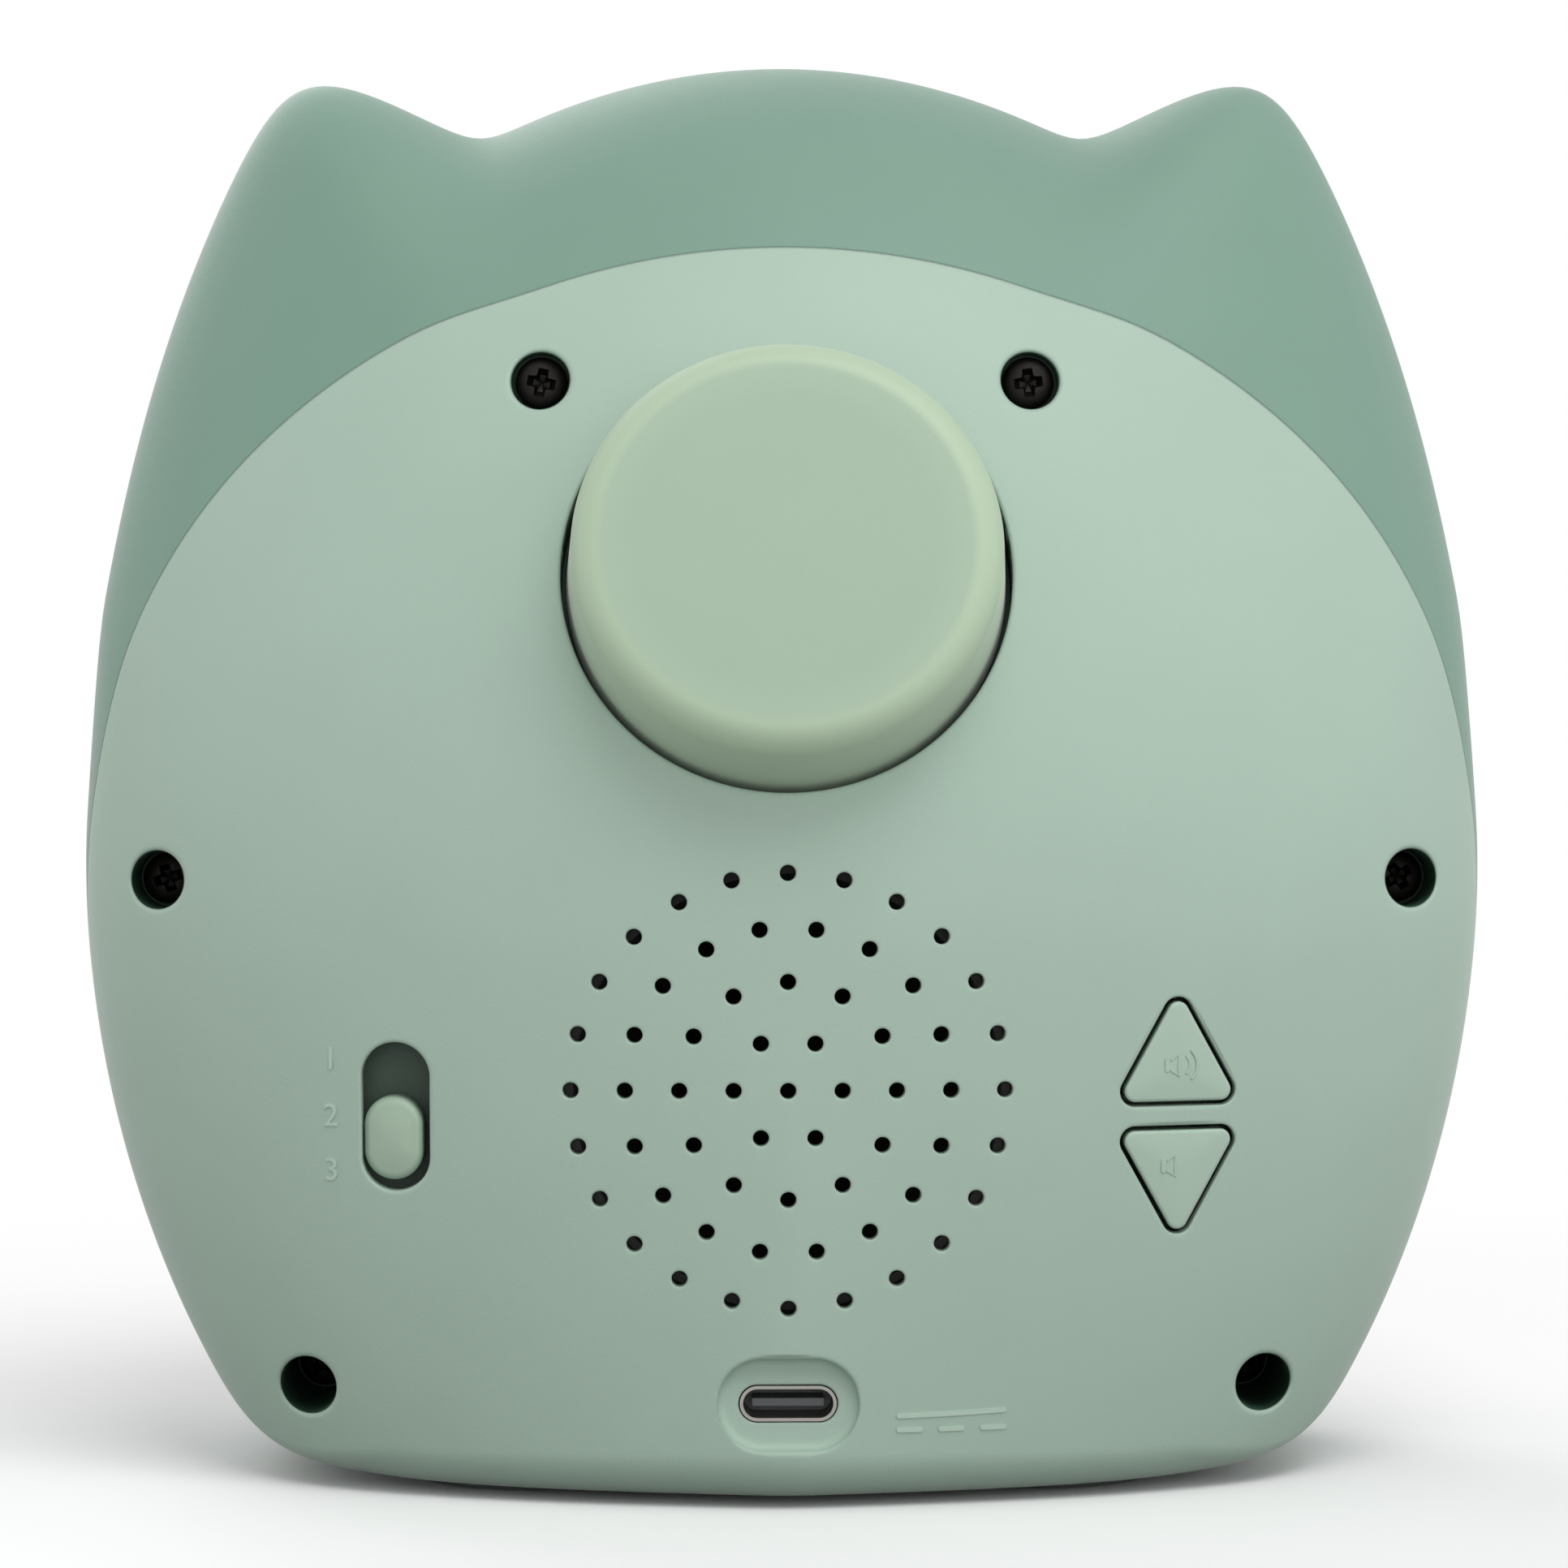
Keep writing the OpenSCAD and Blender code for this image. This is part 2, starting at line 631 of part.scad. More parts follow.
// Pan-head screw whose head faces the front
module screw_front(p, y) {
  rod(p[0], p[1], 3.6, y - 1.4, y);
  rod(p[0], p[1], 1.6, y - eps, y + 6);
}
seg_l = 5.6;
seg_w = 1.3;
seg_t = 0.3;
digit_on = [[1, 1, 1, 1, 1, 1, 0], [1, 1, 1, 1, 1, 1, 1], [1, 1, 1, 1, 1, 1, 0],
  [1, 1, 1, 1, 1, 1, 0]];
// One bar of a digit, centred at x, z
module bar(x, z, flat_bar) {
  w = flat_bar ? seg_l : seg_w;
  h = flat_bar ? seg_w : seg_l;
  slab(x - w / 2, x + w / 2, module_y - seg_t, module_y, z - h / 2, z + h / 2);
}
module digit(x, on) {
  k = seg_l / 2 + seg_w / 2 + 0.2;
  if (on[0] == 1) bar(x, disp_z + 2 * k, true);
  if (on[1] == 1) bar(x - k, disp_z + k, false);
  if (on[2] == 1) bar(x - k, disp_z - k, false);
  if (on[3] == 1) bar(x, disp_z - 2 * k, true);
  if (on[4] == 1) bar(x + k, disp_z - k, false);
  if (on[5] == 1) bar(x + k, disp_z + k, false);
  if (on[6] == 1) bar(x, disp_z, true);
}
module display_digits() {
  color("#f6f3e4") {
    for (i = [0:3])
      digit([20, 7.5, -7.5, -20][i], digit_on[i]);
    for (z = [-3, 3])
      rod(0, disp_z + z, 1.5, module_y - seg_t, module_y);
  }
}
module main_board() {
  color("#2f5d45")
    difference() {
      plate(0, 52, 76, 56, 2, main_y, main_y + board_t);
      for (p = main_places)
        rod(p[0], p[1], 2.3, -far, 0);
    }
}
comp_y = main_y + board_t;
module control_chip() {
  color("#1b1c1e")
    union() {
      slab(8, 18, comp_y, comp_y + 1.4, 54, 64);
      for (i = [0:7], s = [-1, 1]) {
        slab(s * 5.6 + 12.6, s * 5.6 + 13.4, comp_y, comp_y + 0.6, 54.8 + i * 1.1, 55.3 + i * 1.1);
      }
    }
}
module sound_chip() {
  color("#1b1c1e")
    slab(-14, -9, comp_y, comp_y + 1.5, 56, 62);
}
module cell_holder() {
  color("#2a2b2d")
    difference() {
      rod(-19, 39, 22.6, comp_y, comp_y + 3.6);
      rod(-19, 39, 20.2, comp_y + 0.6, comp_y + 9);
      slab(-24, -14, comp_y + 1.2, comp_y + 9, 20, 32);
    }
}
module backup_cell() {
  color("#c9ccce")
    union() {
      rod(-19, 39, 20, comp_y + 0.6, comp_y + 3.4);
      rod(-19, 39, 17.6, comp_y + 3.3, comp_y + 3.8);
    }
}
module filter_capacitor() {
  color("#31363c")
    union() {
      rod(22, 40, 6.3, comp_y, comp_y + 7);
      plate(22, 40, 6.6, 6.6, 0.6, comp_y, comp_y + 0.8);
    }
}
module board_screws() {
  color("#b9bcbe")
    for (p = main_places)
      screw(p[0], p[1], comp_y + 1.4, 3.6, 1.4, 1.6, 5.5);
}

/* Power socket */
module usb_board() {
  color("#2f5d45")
    difference() {
      slab(-usb_post_x - 2.5, usb_post_x + 2.5, usb_y - 20.4, usb_y - 3.2, usb_low,
        usb_low + usb_board_t);
      for (s = [-1, 1])
        translate([s * usb_post_x, usb_post_y, 0])
          cylinder(d = 2.3, h = 20, $fn = 32);
    }
}
module usb_shell() {
  color("#b5b3ad")
    difference() {
      facing(0, usb_y - 7.3, usb_z)
        linear_extrude(height = 7.3)
          stadium_x(usb_w, usb_h);
      facing(0, usb_y - 6.5, usb_z)
        linear_extrude(height = 9)
          stadium_x(usb_w - 0.6, usb_h - 0.6);
    }
}
module usb_tongue() {
  color("#3a3d40")
    union() {
      slab(-3.3, 3.3, usb_y - 6.4, usb_y - 1.2, usb_z - 0.35, usb_z + 0.35);
      facing(0, usb_y - 6.5, usb_z)
        linear_extrude(height = 1.4)
          stadium_x(usb_w - 0.7, usb_h - 0.7);
    }
}
module usb_screws() {
  color("#b9bcbe")
    for (s = [-1, 1])
      translate([s * usb_post_x, usb_post_y, usb_low + usb_board_t])
        union() {
          cylinder(d = 3.6, h = 1.3, $fn = 40);
          translate([0, 0, -3.5])
            cylinder(d = 1.45, h = 3.6, $fn = 32);
        }
}

/* Speaker */
gasket_t = 0.8;
flange_th = 1.2;
module speaker_gasket() {
  color("#2b2c2e")
    difference() {
      rod(0, spk_z, speaker_d, ledge_y - gasket_t, ledge_y);
      rod(0, spk_z, speaker_d - 3.6, 0, far);
    }
}
// Turned piece on the speaker axis: points are radius and Y
module turned(pts) {
  facing(0, 0, spk_z)
    rotate_extrude($fn = 96)
      polygon(pts);
}
spk_r = speaker_d / 2;
flange_y = ledge_y - gasket_t;
spk_back = flange_y - 11.4;
module speaker_basket() {
  color("#8e9194")
    turned([[spk_r, flange_y], [spk_r, flange_y - flange_th], [spk_r - 3, flange_y - flange_th],
      [15, spk_back + 1.6], [15, spk_back], [6, spk_back], [6, spk_back + 1.2],
      [13.8, spk_back + 1.2], [spk_r - 4, flange_y - 0.5], [spk_r - 2.6, flange_y - 0.5],
      [spk_r - 2.6, flange_y]]);
}
module speaker_cone() {
  color("#3b3e41")
    turned([[spk_r - 2.7, flange_y - 0.5], [spk_r - 2.7, flange_y - 0.1],
      [spk_r - 3.4, flange_y - 0.1], [spk_r - 4.4, flange_y + 0.3], [spk_r - 6, flange_y - 0.8],
      [7, spk_back + 4.6], [5, spk_back + 5.8], [0, spk_back + 6.6], [0, spk_back + 6],
      [4.6, spk_back + 5.2], [5.5, spk_back + 3.4], [5.5, spk_back + 0.8],
      [5.9, spk_back + 0.8], [5.9, spk_back + 3.7], [spk_r - 6, flange_y - 1.5],
      [spk_r - 4.4, flange_y - 0.3], [spk_r - 3.9, flange_y - 0.5]]);
}
module speaker_magnet() {
  color("#55585b")
    turned([[12, spk_back], [12, spk_back - 6.4], [11.4, spk_back - 7], [0, spk_back - 7],
      [0, spk_back]]);
}
module speaker_retainer() {
  color("#eef0ea")
    difference() {
      union() {
        turned([[spk_r, collar_y], [spk_r, flange_y - flange_th], [spk_r - 2.2, flange_y - flange_th],
          [spk_r - 2.2, collar_y - 2], [spk_r + 2, collar_y - 2], [spk_r + 2, collar_y]]);
        for (p = spk_places)
          rod(p[0], p[1], 6.4, collar_y - 2, collar_y);
      }
      for (p = spk_places)
        rod(p[0], p[1], 2.3, 0, far);
    }
}
module speaker_screws() {
  color("#b9bcbe")
    for (p = spk_places)
      screw_front(p, collar_y - 2);
}

/* Slide switch */
cap_x = slot_x + 0.25;
cap_rest = slot_z - 2.05;
skirt_y = board_y + 8;
module switch_board() {
  color("#2f5d45")
    control_board(1);
}
module control_board(s) {
  difference() {
    plate(s * ctl_x, 36.2, ctl_w - 4, ctl_h, 1, board_y - board_t, board_y);
    for (z = ctl_screw_z)
      rod(s * ctl_x, z, 2.3, 0, far);
  }
}
sw_x = slot_x;
sw_w = 7;
sw_l = 22;
sw_top = board_y + 5.4;
plate_low = sw_top + 0.1;
plate_top = sw_top + 1;
shutter_w = slot_w + 1.6;
shutter_l = slot_l + cap_travel + 0.4;
module slide_switch_body() {
  color("#34443a")
    difference() {
      plate(sw_x, slot_z, sw_w, sw_l, 0.8, board_y, sw_top);
      slab(sw_x - 1.2, sw_x + 1.2, sw_top - 2.4, far, cap_rest - 2.1, cap_rest + cap_travel + 2.1);
      slab(sw_x - 2.2, sw_x + 2.2, sw_top - 4.4, sw_top - 2.3, cap_rest - 2.9,
        cap_rest + cap_travel + 2.9);
    }
}
module slide_switch_cap() {
  color("#99ad9a")
    union() {
      intersection() {
        facing(cap_x, skirt_y - 1, cap_rest)
          linear_extrude(height = 20)
            stadium(cap_w, cap_l);
        slab_tilt();
      }
      slab(cap_x - cap_w / 2 + 1, cap_x + cap_w / 2 - 1, plate_top, skirt_y, cap_rest - 2.5,
        cap_rest + 2.5);
    }
}
// Dark plate that closes the slot behind the cap and drives the switch
module slide_switch_shutter() {
  color("#34443a")
    union() {
      plate(slot_x, cap_rest, shutter_w, shutter_l, 1, plate_low, plate_top);
      slab(slot_x - 1.1, slot_x + 1.1, sw_top - 2.5, plate_low + 0.2, cap_rest - 2, cap_rest + 2);
      slab(slot_x - 2, slot_x + 2, sw_top - 4.2, sw_top - 2.45, cap_rest - 2.7, cap_rest + 2.7);
    }
}
// Block under the sloping face of the switch cap
module slab_tilt() {
  translate([cap_x, board_y + 11.8, cap_rest])
    rotate([0, 0, -19])
      translate([-10, -20, -10])
        cube([20, 20, 20]);
}

/* Volume buttons */
stem_y = board_y + 4.9;
flange_low = board_y + 6.2;
module button_board() {
  color("#2f5d45")
    control_board(-1);
}
module tact_body(z) {
  color("#2a2b2d")
    difference() {
      plate(tri_x, z, 6, 6, 0.5, board_y, board_y + 3.6);
      rod(tri_x, z, 3.52, board_y + 1.4, far);
    }
}
module tact_plunger(z) {
  color("#6d6f70")
    rod(tri_x, z, 3.4, board_y + 2.4, stem_y);
}
up_z = tri_up_z + 3.6;
down_z = tri_down_z - 3.6;
module volume_up_switch() {
  tact_body(up_z);
}
module volume_down_switch() {
  tact_body(down_z);
}
module volume_up_plunger() {
  tact_plunger(up_z);
}
module volume_down_plunger() {
  tact_plunger(down_z);
}
module volume_button(up) {
  color("#a5baaa")
    union() {
      intersection() {
        tri_prism(up, 0, flange_low + 0.2, far);
        skin_solid(-0.25, 0);
      }
      intersection() {
        tri_prism(up, 0.9, flange_low, far);
        skin_solid(wall + 0.3, 0);
      }
      rod(tri_x, up ? up_z : down_z, 3.8, stem_y, flange_low + 0.4);
    }
}
module volume_up_button() {
  volume_button(true);
}
module volume_down_button() {
  volume_button(false);
}
module control_screws() {
  color("#b9bcbe")
    for (p = ctl_places)
      screw_front(p, board_y - board_t);
}

/* Dial and encoder: heights along the dial axis */
enc_top = -well_floor - floor_t;
cap_t = 0.6;
enc_h = 6;
enc_low = enc_top - cap_t - enc_h;
knob_r = well_d / 2 - well_gap;
knob_draft = 0.7;
knob_top_r = knob_r - knob_draft;
knob_low = -well_floor + 0.9;
knob_wall = 2;
nut_low = -well_floor + 0.6;
nut_t = 2;
run_gap = 0.05;
module encoder_bushing() {
  color("#b9bcbe")
    at_knob()
      difference() {
        union() {
          translate([-6, -6.5, enc_top - cap_t])
            cube([12, 13, cap_t]);
          translate([0, 0, enc_top - eps])
            cylinder(d = bush_d, h = nut_low + nut_t + 0.6 - enc_top, $fn = 64);
        }
        translate([0, 0, -40])
          cylinder(d = shaft_d + 2 * run_gap, h = 80, $fn = 64);
      }
}
module encoder_body() {
  color("#2b2d30")
    at_knob()
      difference() {
        translate([-6, -6.5, enc_low])
          cube([12, 13, enc_h]);
        translate([0, 0, enc_low + 0.8])
          cylinder(d = 10.6, h = 20, $fn = 64);
      }
}
module encoder_board() {
  color("#2f5d45")
    at_knob()
      translate([-9, -10, enc_low - usb_board_t])
        cube([18, 20, usb_board_t]);
}
module encoder_washer() {
  color("#c4c6c7")
    at_knob()
      translate([0, 0, -well_floor])
        difference() {
          cylinder(d = 11.5, h = nut_low + well_floor, $fn = 64);
          translate([0, 0, -1])
            cylinder(d = bush_d + 0.1, h = 4, $fn = 64);
        }
}
module encoder_nut() {
  color("#c4c6c7")
    at_knob()
      translate([0, 0, nut_low])
        difference() {
          cylinder(d = 11.5, h = nut_t, $fn = 6);
          translate([0, 0, -1])
            cylinder(d = bush_d + 0.1, h = 5, $fn = 64);
        }
}
rotor_low = enc_low + 3;
touch = 0.03;
module encoder_plunger() {
  color("#6d6f70")
    at_knob()
      translate([0, 0, enc_low + 1.6])
        cylinder(d = 6, h = rotor_low - enc_low - 1.6 - touch, $fn = 48);
}
shaft_top = knob_h - knob_wall - 2;
module encoder_shaft() {
  color("#c4c6c7")
    at_knob()
      difference() {
        union() {
          translate([0, 0, rotor_low])
            cylinder(d = 10.4, h = 2, $fn = 64);
          translate([0, 0, rotor_low + 1])
            cylinder(d = shaft_d, h = shaft_top - rotor_low - 1, $fn = 64);
        }
        translate([shaft_d / 2 - 1.5, -5, shaft_top - 5.8])
          cube([5, 10, 20]);
      }
}
knob_arc = [for (k = [0:8]) [knob_top_r - knob_round * (1 - cos(k * 90 / 8)),
  knob_h - knob_round * (1 - sin(k * 90 / 8))]];
inner_arc = [for (k = [4:-1:0]) [knob_top_r - knob_wall - knob_round * 0.6 * (1 - cos(k * 90 / 4)),
  knob_h - knob_wall - knob_round * 0.6 * (1 - sin(k * 90 / 4))]];
bore_r = shaft_d / 2 + 0.03;
hub_r = 5.6;
hub_low = -3;
module dial_knob() {
  color("#b4c7b2")
    at_knob()
      rotate_extrude($fn = 160)
        polygon(concat([[knob_r, knob_low]], knob_arc, [[0, knob_h], [0, shaft_top + 0.4],
          [bore_r, shaft_top + 0.4], [bore_r, hub_low], [hub_r, hub_low],
          [hub_r, knob_h - knob_wall]], inner_arc, [[knob_r - knob_wall, knob_low]]));
}

module case_screws() {
  color("#1b1c1d")
    for (p = case_places)
      screw(p[0], p[1], p[2], case_head_d, case_head_t, case_shank_d, shank_l);
}
module chassis_screws() {
  color("#b9bcbe")
    for (p = chassis_places)
      screw(p[0], p[1], chassis_y + 1.6, 4.4, 1.6, 1.8, 7);
}
pad_in = 0.5;
pad_t = floor_z + pad_in;
pad_y = -1;
module pad_block(g, z1) {
  translate([0, pad_y, 0])
    linear_extrude(height = z1)
      offset(r = pad_round + g, $fn = 64)
        square([pad_w - 2 * pad_round, pad_l - 2 * pad_round], center = true);
}
module pad_pocket() {
  translate([0, 0, -1])
    pad_block(0.1, pad_t + 1);
}
module base_pad() {
  color("#4c5450")
    pad_block(0, pad_t);
}
// Straight run of wire from p along v
module wire_run(p, v, d) {
  l = norm(v);
  translate(p)
    rotate([0, acos(v[2] / l), atan2(v[1], v[0])])
      cylinder(d = d, h = l, $fn = 20);
}
// Wire through a list of points
module wire(ps, d) {
  for (i = [0:len(ps) - 2])
    wire_run(ps[i], ps[i + 1] - ps[i], d);
  for (p = ps)
    translate(p)
      sphere(d = d * 1.1, $fn = 20);
}
module speaker_leads() {
  color("#8c2f2b")
    for (s = [0, 1.6])
      wire([[-13.6 - s, spk_back + 0.8, 48], [-16 - s, spk_back - 7, 52], [-16 - s, comp_y + 10, 64],
        [-6 - s, comp_y + 4.8, 70], [-6 - s, comp_y + 0.75, 71]], 1.3);
}
module power_leads() {
  color("#26282a")
    for (s = [0, 1.6])
      wire([[4 + s, usb_y - 18.4, usb_low + usb_board_t + 0.75], [4 + s, usb_y - 24.4, usb_low + 3],
        [4 + s, comp_y + 10.8, 22], [2 + s, comp_y + 4.8, 30], [2 + s, comp_y + 0.75, 32]], 1.3);
}

rear_shell();
hood();
diffuser();
display_window();
left_eye();
right_eye();
nose();
chassis();
led_board();
night_light_leds();
display_board();
display_module();
display_digits();
main_board();
control_chip();
sound_chip();
cell_holder();
backup_cell();
filter_capacitor();
board_screws();
usb_board();
usb_shell();
usb_tongue();
usb_screws();
speaker_gasket();
speaker_basket();
speaker_cone();
speaker_magnet();
speaker_retainer();
speaker_screws();
switch_board();
slide_switch_body();
slide_switch_cap();
slide_switch_shutter();
button_board();
volume_up_switch();
volume_up_plunger();
volume_up_button();
volume_down_switch();
volume_down_plunger();
volume_down_button();
control_screws();
encoder_bushing();
encoder_body();
encoder_board();
encoder_washer();
encoder_nut();
encoder_plunger();
encoder_shaft();
dial_knob();
case_screws();
chassis_screws();
base_pad();
speaker_leads();
power_leads();
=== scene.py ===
# %% [markdown]
# # Kids alarm clock with night light
# A soft two-part case with ears, seen from its control side: push dial, speaker grille, slide
# switch, two volume buttons and a power inlet. The fixed frame gives the mechanics. This script
# builds the finished skins, the plain marks and every finish around it, in metres.

# %% Set-up
import json
import math

import bpy
import numpy as np
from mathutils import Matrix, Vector


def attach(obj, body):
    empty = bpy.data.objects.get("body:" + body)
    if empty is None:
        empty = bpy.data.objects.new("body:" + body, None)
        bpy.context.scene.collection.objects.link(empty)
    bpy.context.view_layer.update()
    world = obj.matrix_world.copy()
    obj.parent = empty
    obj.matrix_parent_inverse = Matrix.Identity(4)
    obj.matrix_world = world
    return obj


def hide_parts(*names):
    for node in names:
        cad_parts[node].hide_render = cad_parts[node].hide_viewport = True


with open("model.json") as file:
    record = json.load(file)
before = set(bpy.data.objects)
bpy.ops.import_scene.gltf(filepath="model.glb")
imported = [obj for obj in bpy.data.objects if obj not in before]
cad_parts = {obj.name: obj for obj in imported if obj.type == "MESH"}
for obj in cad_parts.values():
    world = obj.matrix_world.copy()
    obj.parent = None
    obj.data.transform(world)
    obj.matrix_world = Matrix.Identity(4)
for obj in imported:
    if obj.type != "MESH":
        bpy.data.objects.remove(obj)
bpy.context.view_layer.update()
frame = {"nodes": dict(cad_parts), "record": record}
NODES = frame["nodes"]

# %% [markdown]
# ## Sizes of the case
# A moulded case is drawn from a few sizes, and everything else follows them. These are the same
# values, in millimetres, as in the fixed frame, so the finished skins sit on it: the control side
# faces +Y, the lit front -Y. The numbers could be read off the frame's meshes instead, but then a
# curve would only be as good as their facets.

# %% Driving sizes
MM = 0.001
HALF_W, BODY_H, BODY_D = 69.0, 139.8, 72.0  # half width, height, depth of the body
WALL, FLOOR_Z = 2.2, 0.8  # wall of both shells, underside above the table
POLE_Z, WIDE_Z, RISE_DOWN = 50.0, 59.8, 85.0  # middle of the lofts, widest height, lower ellipse
FLOOR_CORNER = 16.0  # how tight the two bottom corners turn
EAR_DRAW = 87.8  # the smaller, the faster the ears open outwards with the direction
EAR_A, EAR_D = 118.8, 56.7  # direction and distance of the line that ends them on the inside
EAR_SHARP, EAR_JOIN = 17.2, 55.0  # how sharp their tips and their valleys are
RIM_SIDE, RIM_TOP = 36.0, 50.0  # widest outline behind the control side, at the sides and the top
DOME_LOW, DOME_SOFT = 6.0, 0.003  # depth of the dome straight down, and how soon it gets there
FLOOR_ROUND = 4.4  # radius of the edge between control side and underside
FRONT_FULL, OPEN_RHO = 3.2, 0.8  # fullness of the front, size of its opening
PART_Z, PART_DROP = 118.5, 17.3  # top of the parting plane, and how far it lies in there
PART_TILT = math.tan(math.radians(13))  # how it leans towards the control side further down
LIP, LIP_T, SEAM = 2.0, 1.1, 0.1  # lip where the shells meet, its thickness, the line's width
BACK_Y, FRONT_Y = BODY_D / 2, -BODY_D / 2
print("body", 2 * HALF_W, "wide", BODY_H, "high", BODY_D, "deep")

# %% [markdown]
# ## Outline of the body
# From the control side the body is a wide egg that stands on a flat, with two ears. An outline
# like this could be a bezier curve drawn by hand, but the shells, the parting line and every hole
# have to follow it, so it is a radius for each direction around a pole: two half ellipses, a soft
# minimum with the floor, and a soft maximum with the ears. w insets it, which gives the walls.

# %% Outline without ears
def rad(a):
    """Directions are in degrees, from sideways (0) over up (90)."""
    return np.radians(a)


def ease(v):
    """Smooth step from 0 to 1."""
    u = np.clip(v, 0, 1)
    return u * u * (3 - 2 * u)


def ell_r(c, s, a, b, q):
    """Radius, in direction c, s, of an ellipse a by b whose middle is q above the pole."""
    k2 = c * c / a ** 2 + s * s / b ** 2
    k1 = -2 * s * q / b ** 2
    return (-k1 + np.sqrt(np.maximum(0, k1 * k1 - 4 * k2 * (q * q / b ** 2 - 1)))) / (2 * k2)


def open_r(th, w):
    """Egg that would go on below the floor."""
    c, s, q = np.cos(rad(th)), np.sin(rad(th)), WIDE_Z - POLE_Z
    high = ell_r(c, s, HALF_W - w, BODY_H - WIDE_Z - w, q)
    low = ell_r(c, s, HALF_W - w, RISE_DOWN - w, q)
    return np.where(high * s > q, high, low)


def head_r(th, w):
    """Egg that stands on its flat, with soft bottom corners."""
    s, n = np.sin(rad(th)), FLOOR_CORNER
    flat = np.where(s < -0.05, (POLE_Z - FLOOR_Z - w) / np.maximum(-s, 0.05), 900.0)
    return (open_r(th, w) ** -n + flat ** -n) ** (-1 / n)


print("radius up", head_r(np.array([90.0]), 0), "sideways", head_r(np.array([0.0]), 0))

# %% Outline with ears
def eared_r(th, w):
    """The ears open outwards along a spiral, fall to an inner line and blend into the dome."""
    c, s = np.cos(rad(th)), np.sin(rad(th))
    t, h = np.degrees(np.arctan2(s, np.abs(c))), head_r(th, w)
    a = HALF_W * (1 + (t / EAR_DRAW) ** 2) - w
    b = (EAR_D - w) / np.maximum(0.05, np.cos(rad(t - EAR_A)))
    e = (a ** -EAR_SHARP + b ** -EAR_SHARP) ** (-1 / EAR_SHARP)
    m = (h ** EAR_JOIN + e ** EAR_JOIN) ** (1 / EAR_JOIN)
    return h + (m - h) * ease((t - 12) / 16)


ear_th = np.linspace(20, 90, 141)
stands_out = eared_r(ear_th, 0) - head_r(ear_th, 0)
print("ear stands out most at", ear_th[np.argmax(stands_out)], "degrees")

# %% [markdown]
# ## Depth of the body
# The control side is a shallow dome that is flatter low down, and the front is fuller than a
# round. A sculpted mesh would do for a picture, but the walls need one thickness all over. So the
# depth is a profile for each direction too: an ellipse from the pole to the rim, then a
# superellipse from the rim to the front.

# %% Dome, rim and front
def rim_b(th):
    """How far the widest outline lies behind the control side."""
    return RIM_SIDE + (RIM_TOP - RIM_SIDE) * np.maximum(0, np.sin(rad(th))) ** 2


def dome_parts(th, w):
    """Depth of the rim, radius of the standing and the open egg, depth of the dome, rounding of
    the floor's edge, depth of that edge, and the t at which the dome ends there."""
    s = np.sin(rad(th))
    soft, least = (np.cos(rad(th)) ** 2 + DOME_SOFT) ** 0.4, DOME_SOFT ** 0.4
    low = DOME_LOW + (RIM_SIDE - DOME_LOW) * (soft - least) / ((1 + DOME_SOFT) ** 0.4 - least)
    b, h, o = rim_b(th) - w, head_r(th, w), open_r(th, w)
    d = np.maximum(0.3, np.where(s >= 0, rim_b(th), low) - w)
    f = max(1.0, FLOOR_ROUND - w) * ease((1 - h / o) * 8)
    d1 = np.minimum(b, d * (1 - np.sqrt(np.maximum(0, 1 - (h / o) ** 2))) + f)
    return b, h, o, d, f, d1, 1 - 0.6 * (b - d1) / b


def back_drop(r, h, o, d, f):
    """Fall of the dome at radius r, with the floor's edge rounded by f."""
    v = np.clip((r - h + f) / np.maximum(f, 1e-3), 0, 1) * (f > 1e-3)
    return d * (1 - np.sqrt(np.maximum(0, 1 - (r / o) ** 2))) + f * (1 - np.sqrt(1 - v * v))


def front_n(th):
    """Power of the front's superellipse, fuller towards the floor."""
    return FRONT_FULL + 6 * np.maximum(0, (-np.sin(rad(th)) - 0.5) / 0.5) ** 1.5


def front_t(th, rho):
    """The t at which the front has the part rho of its widest radius."""
    return 2 - np.degrees(np.arcsin(rho ** (front_n(th) / 2))) / 90


print("rim behind the control side: sides", RIM_SIDE, "top", RIM_TOP)

# %% One skin for both shells
def skin(th, t, w):
    """Point of the case's skin, inset by w: t runs 0 control side, 1 widest, 2 front."""
    b, h, o, d, f, d1, t1 = dome_parts(th, w)
    back = t <= 1
    r0 = h * np.sin(rad(90 * np.minimum(1, t / t1)))
    flat = d1 + (b - d1) * np.clip((t - t1) / np.maximum(1e-6, 1 - t1), 0, 1)
    drop = np.where(t < t1, back_drop(r0, h, o, d, f), flat)
    e = 2 / front_n(th)
    front = rim_b(th) + (BODY_D - rim_b(th) - w) * np.abs(np.cos(rad(90 * t))) ** e
    y = np.where(back, BACK_Y - w - drop, BACK_Y - front)
    r = np.where(back, np.where(t < t1, r0, h), h * np.abs(np.sin(rad(90 * t))) ** e)
    k = np.where(back, ease((t - 0.5) / 0.5), ease((1.5 - t) / 0.4))
    r = r * (1 + (eared_r(th, w) / h - 1) * k)
    return np.stack([r * np.cos(rad(th)), y, POLE_Z + r * np.sin(rad(th))], -1)


def skin_y(x, z, w=0.0):
    """Height of the control side over x, z."""
    x, z = np.asarray(x, float), np.asarray(z, float)
    th, r = np.degrees(np.arctan2(z - POLE_Z, x)), np.hypot(x, z - POLE_Z)
    b, h, o, d, f, d1, t1 = dome_parts(th, w)
    return BACK_Y - w - back_drop(np.minimum(r, h), h, o, d, f)


def part_y(z):
    """Depth of the parting plane at height z."""
    return BACK_Y - PART_DROP - (PART_Z - z) * PART_TILT


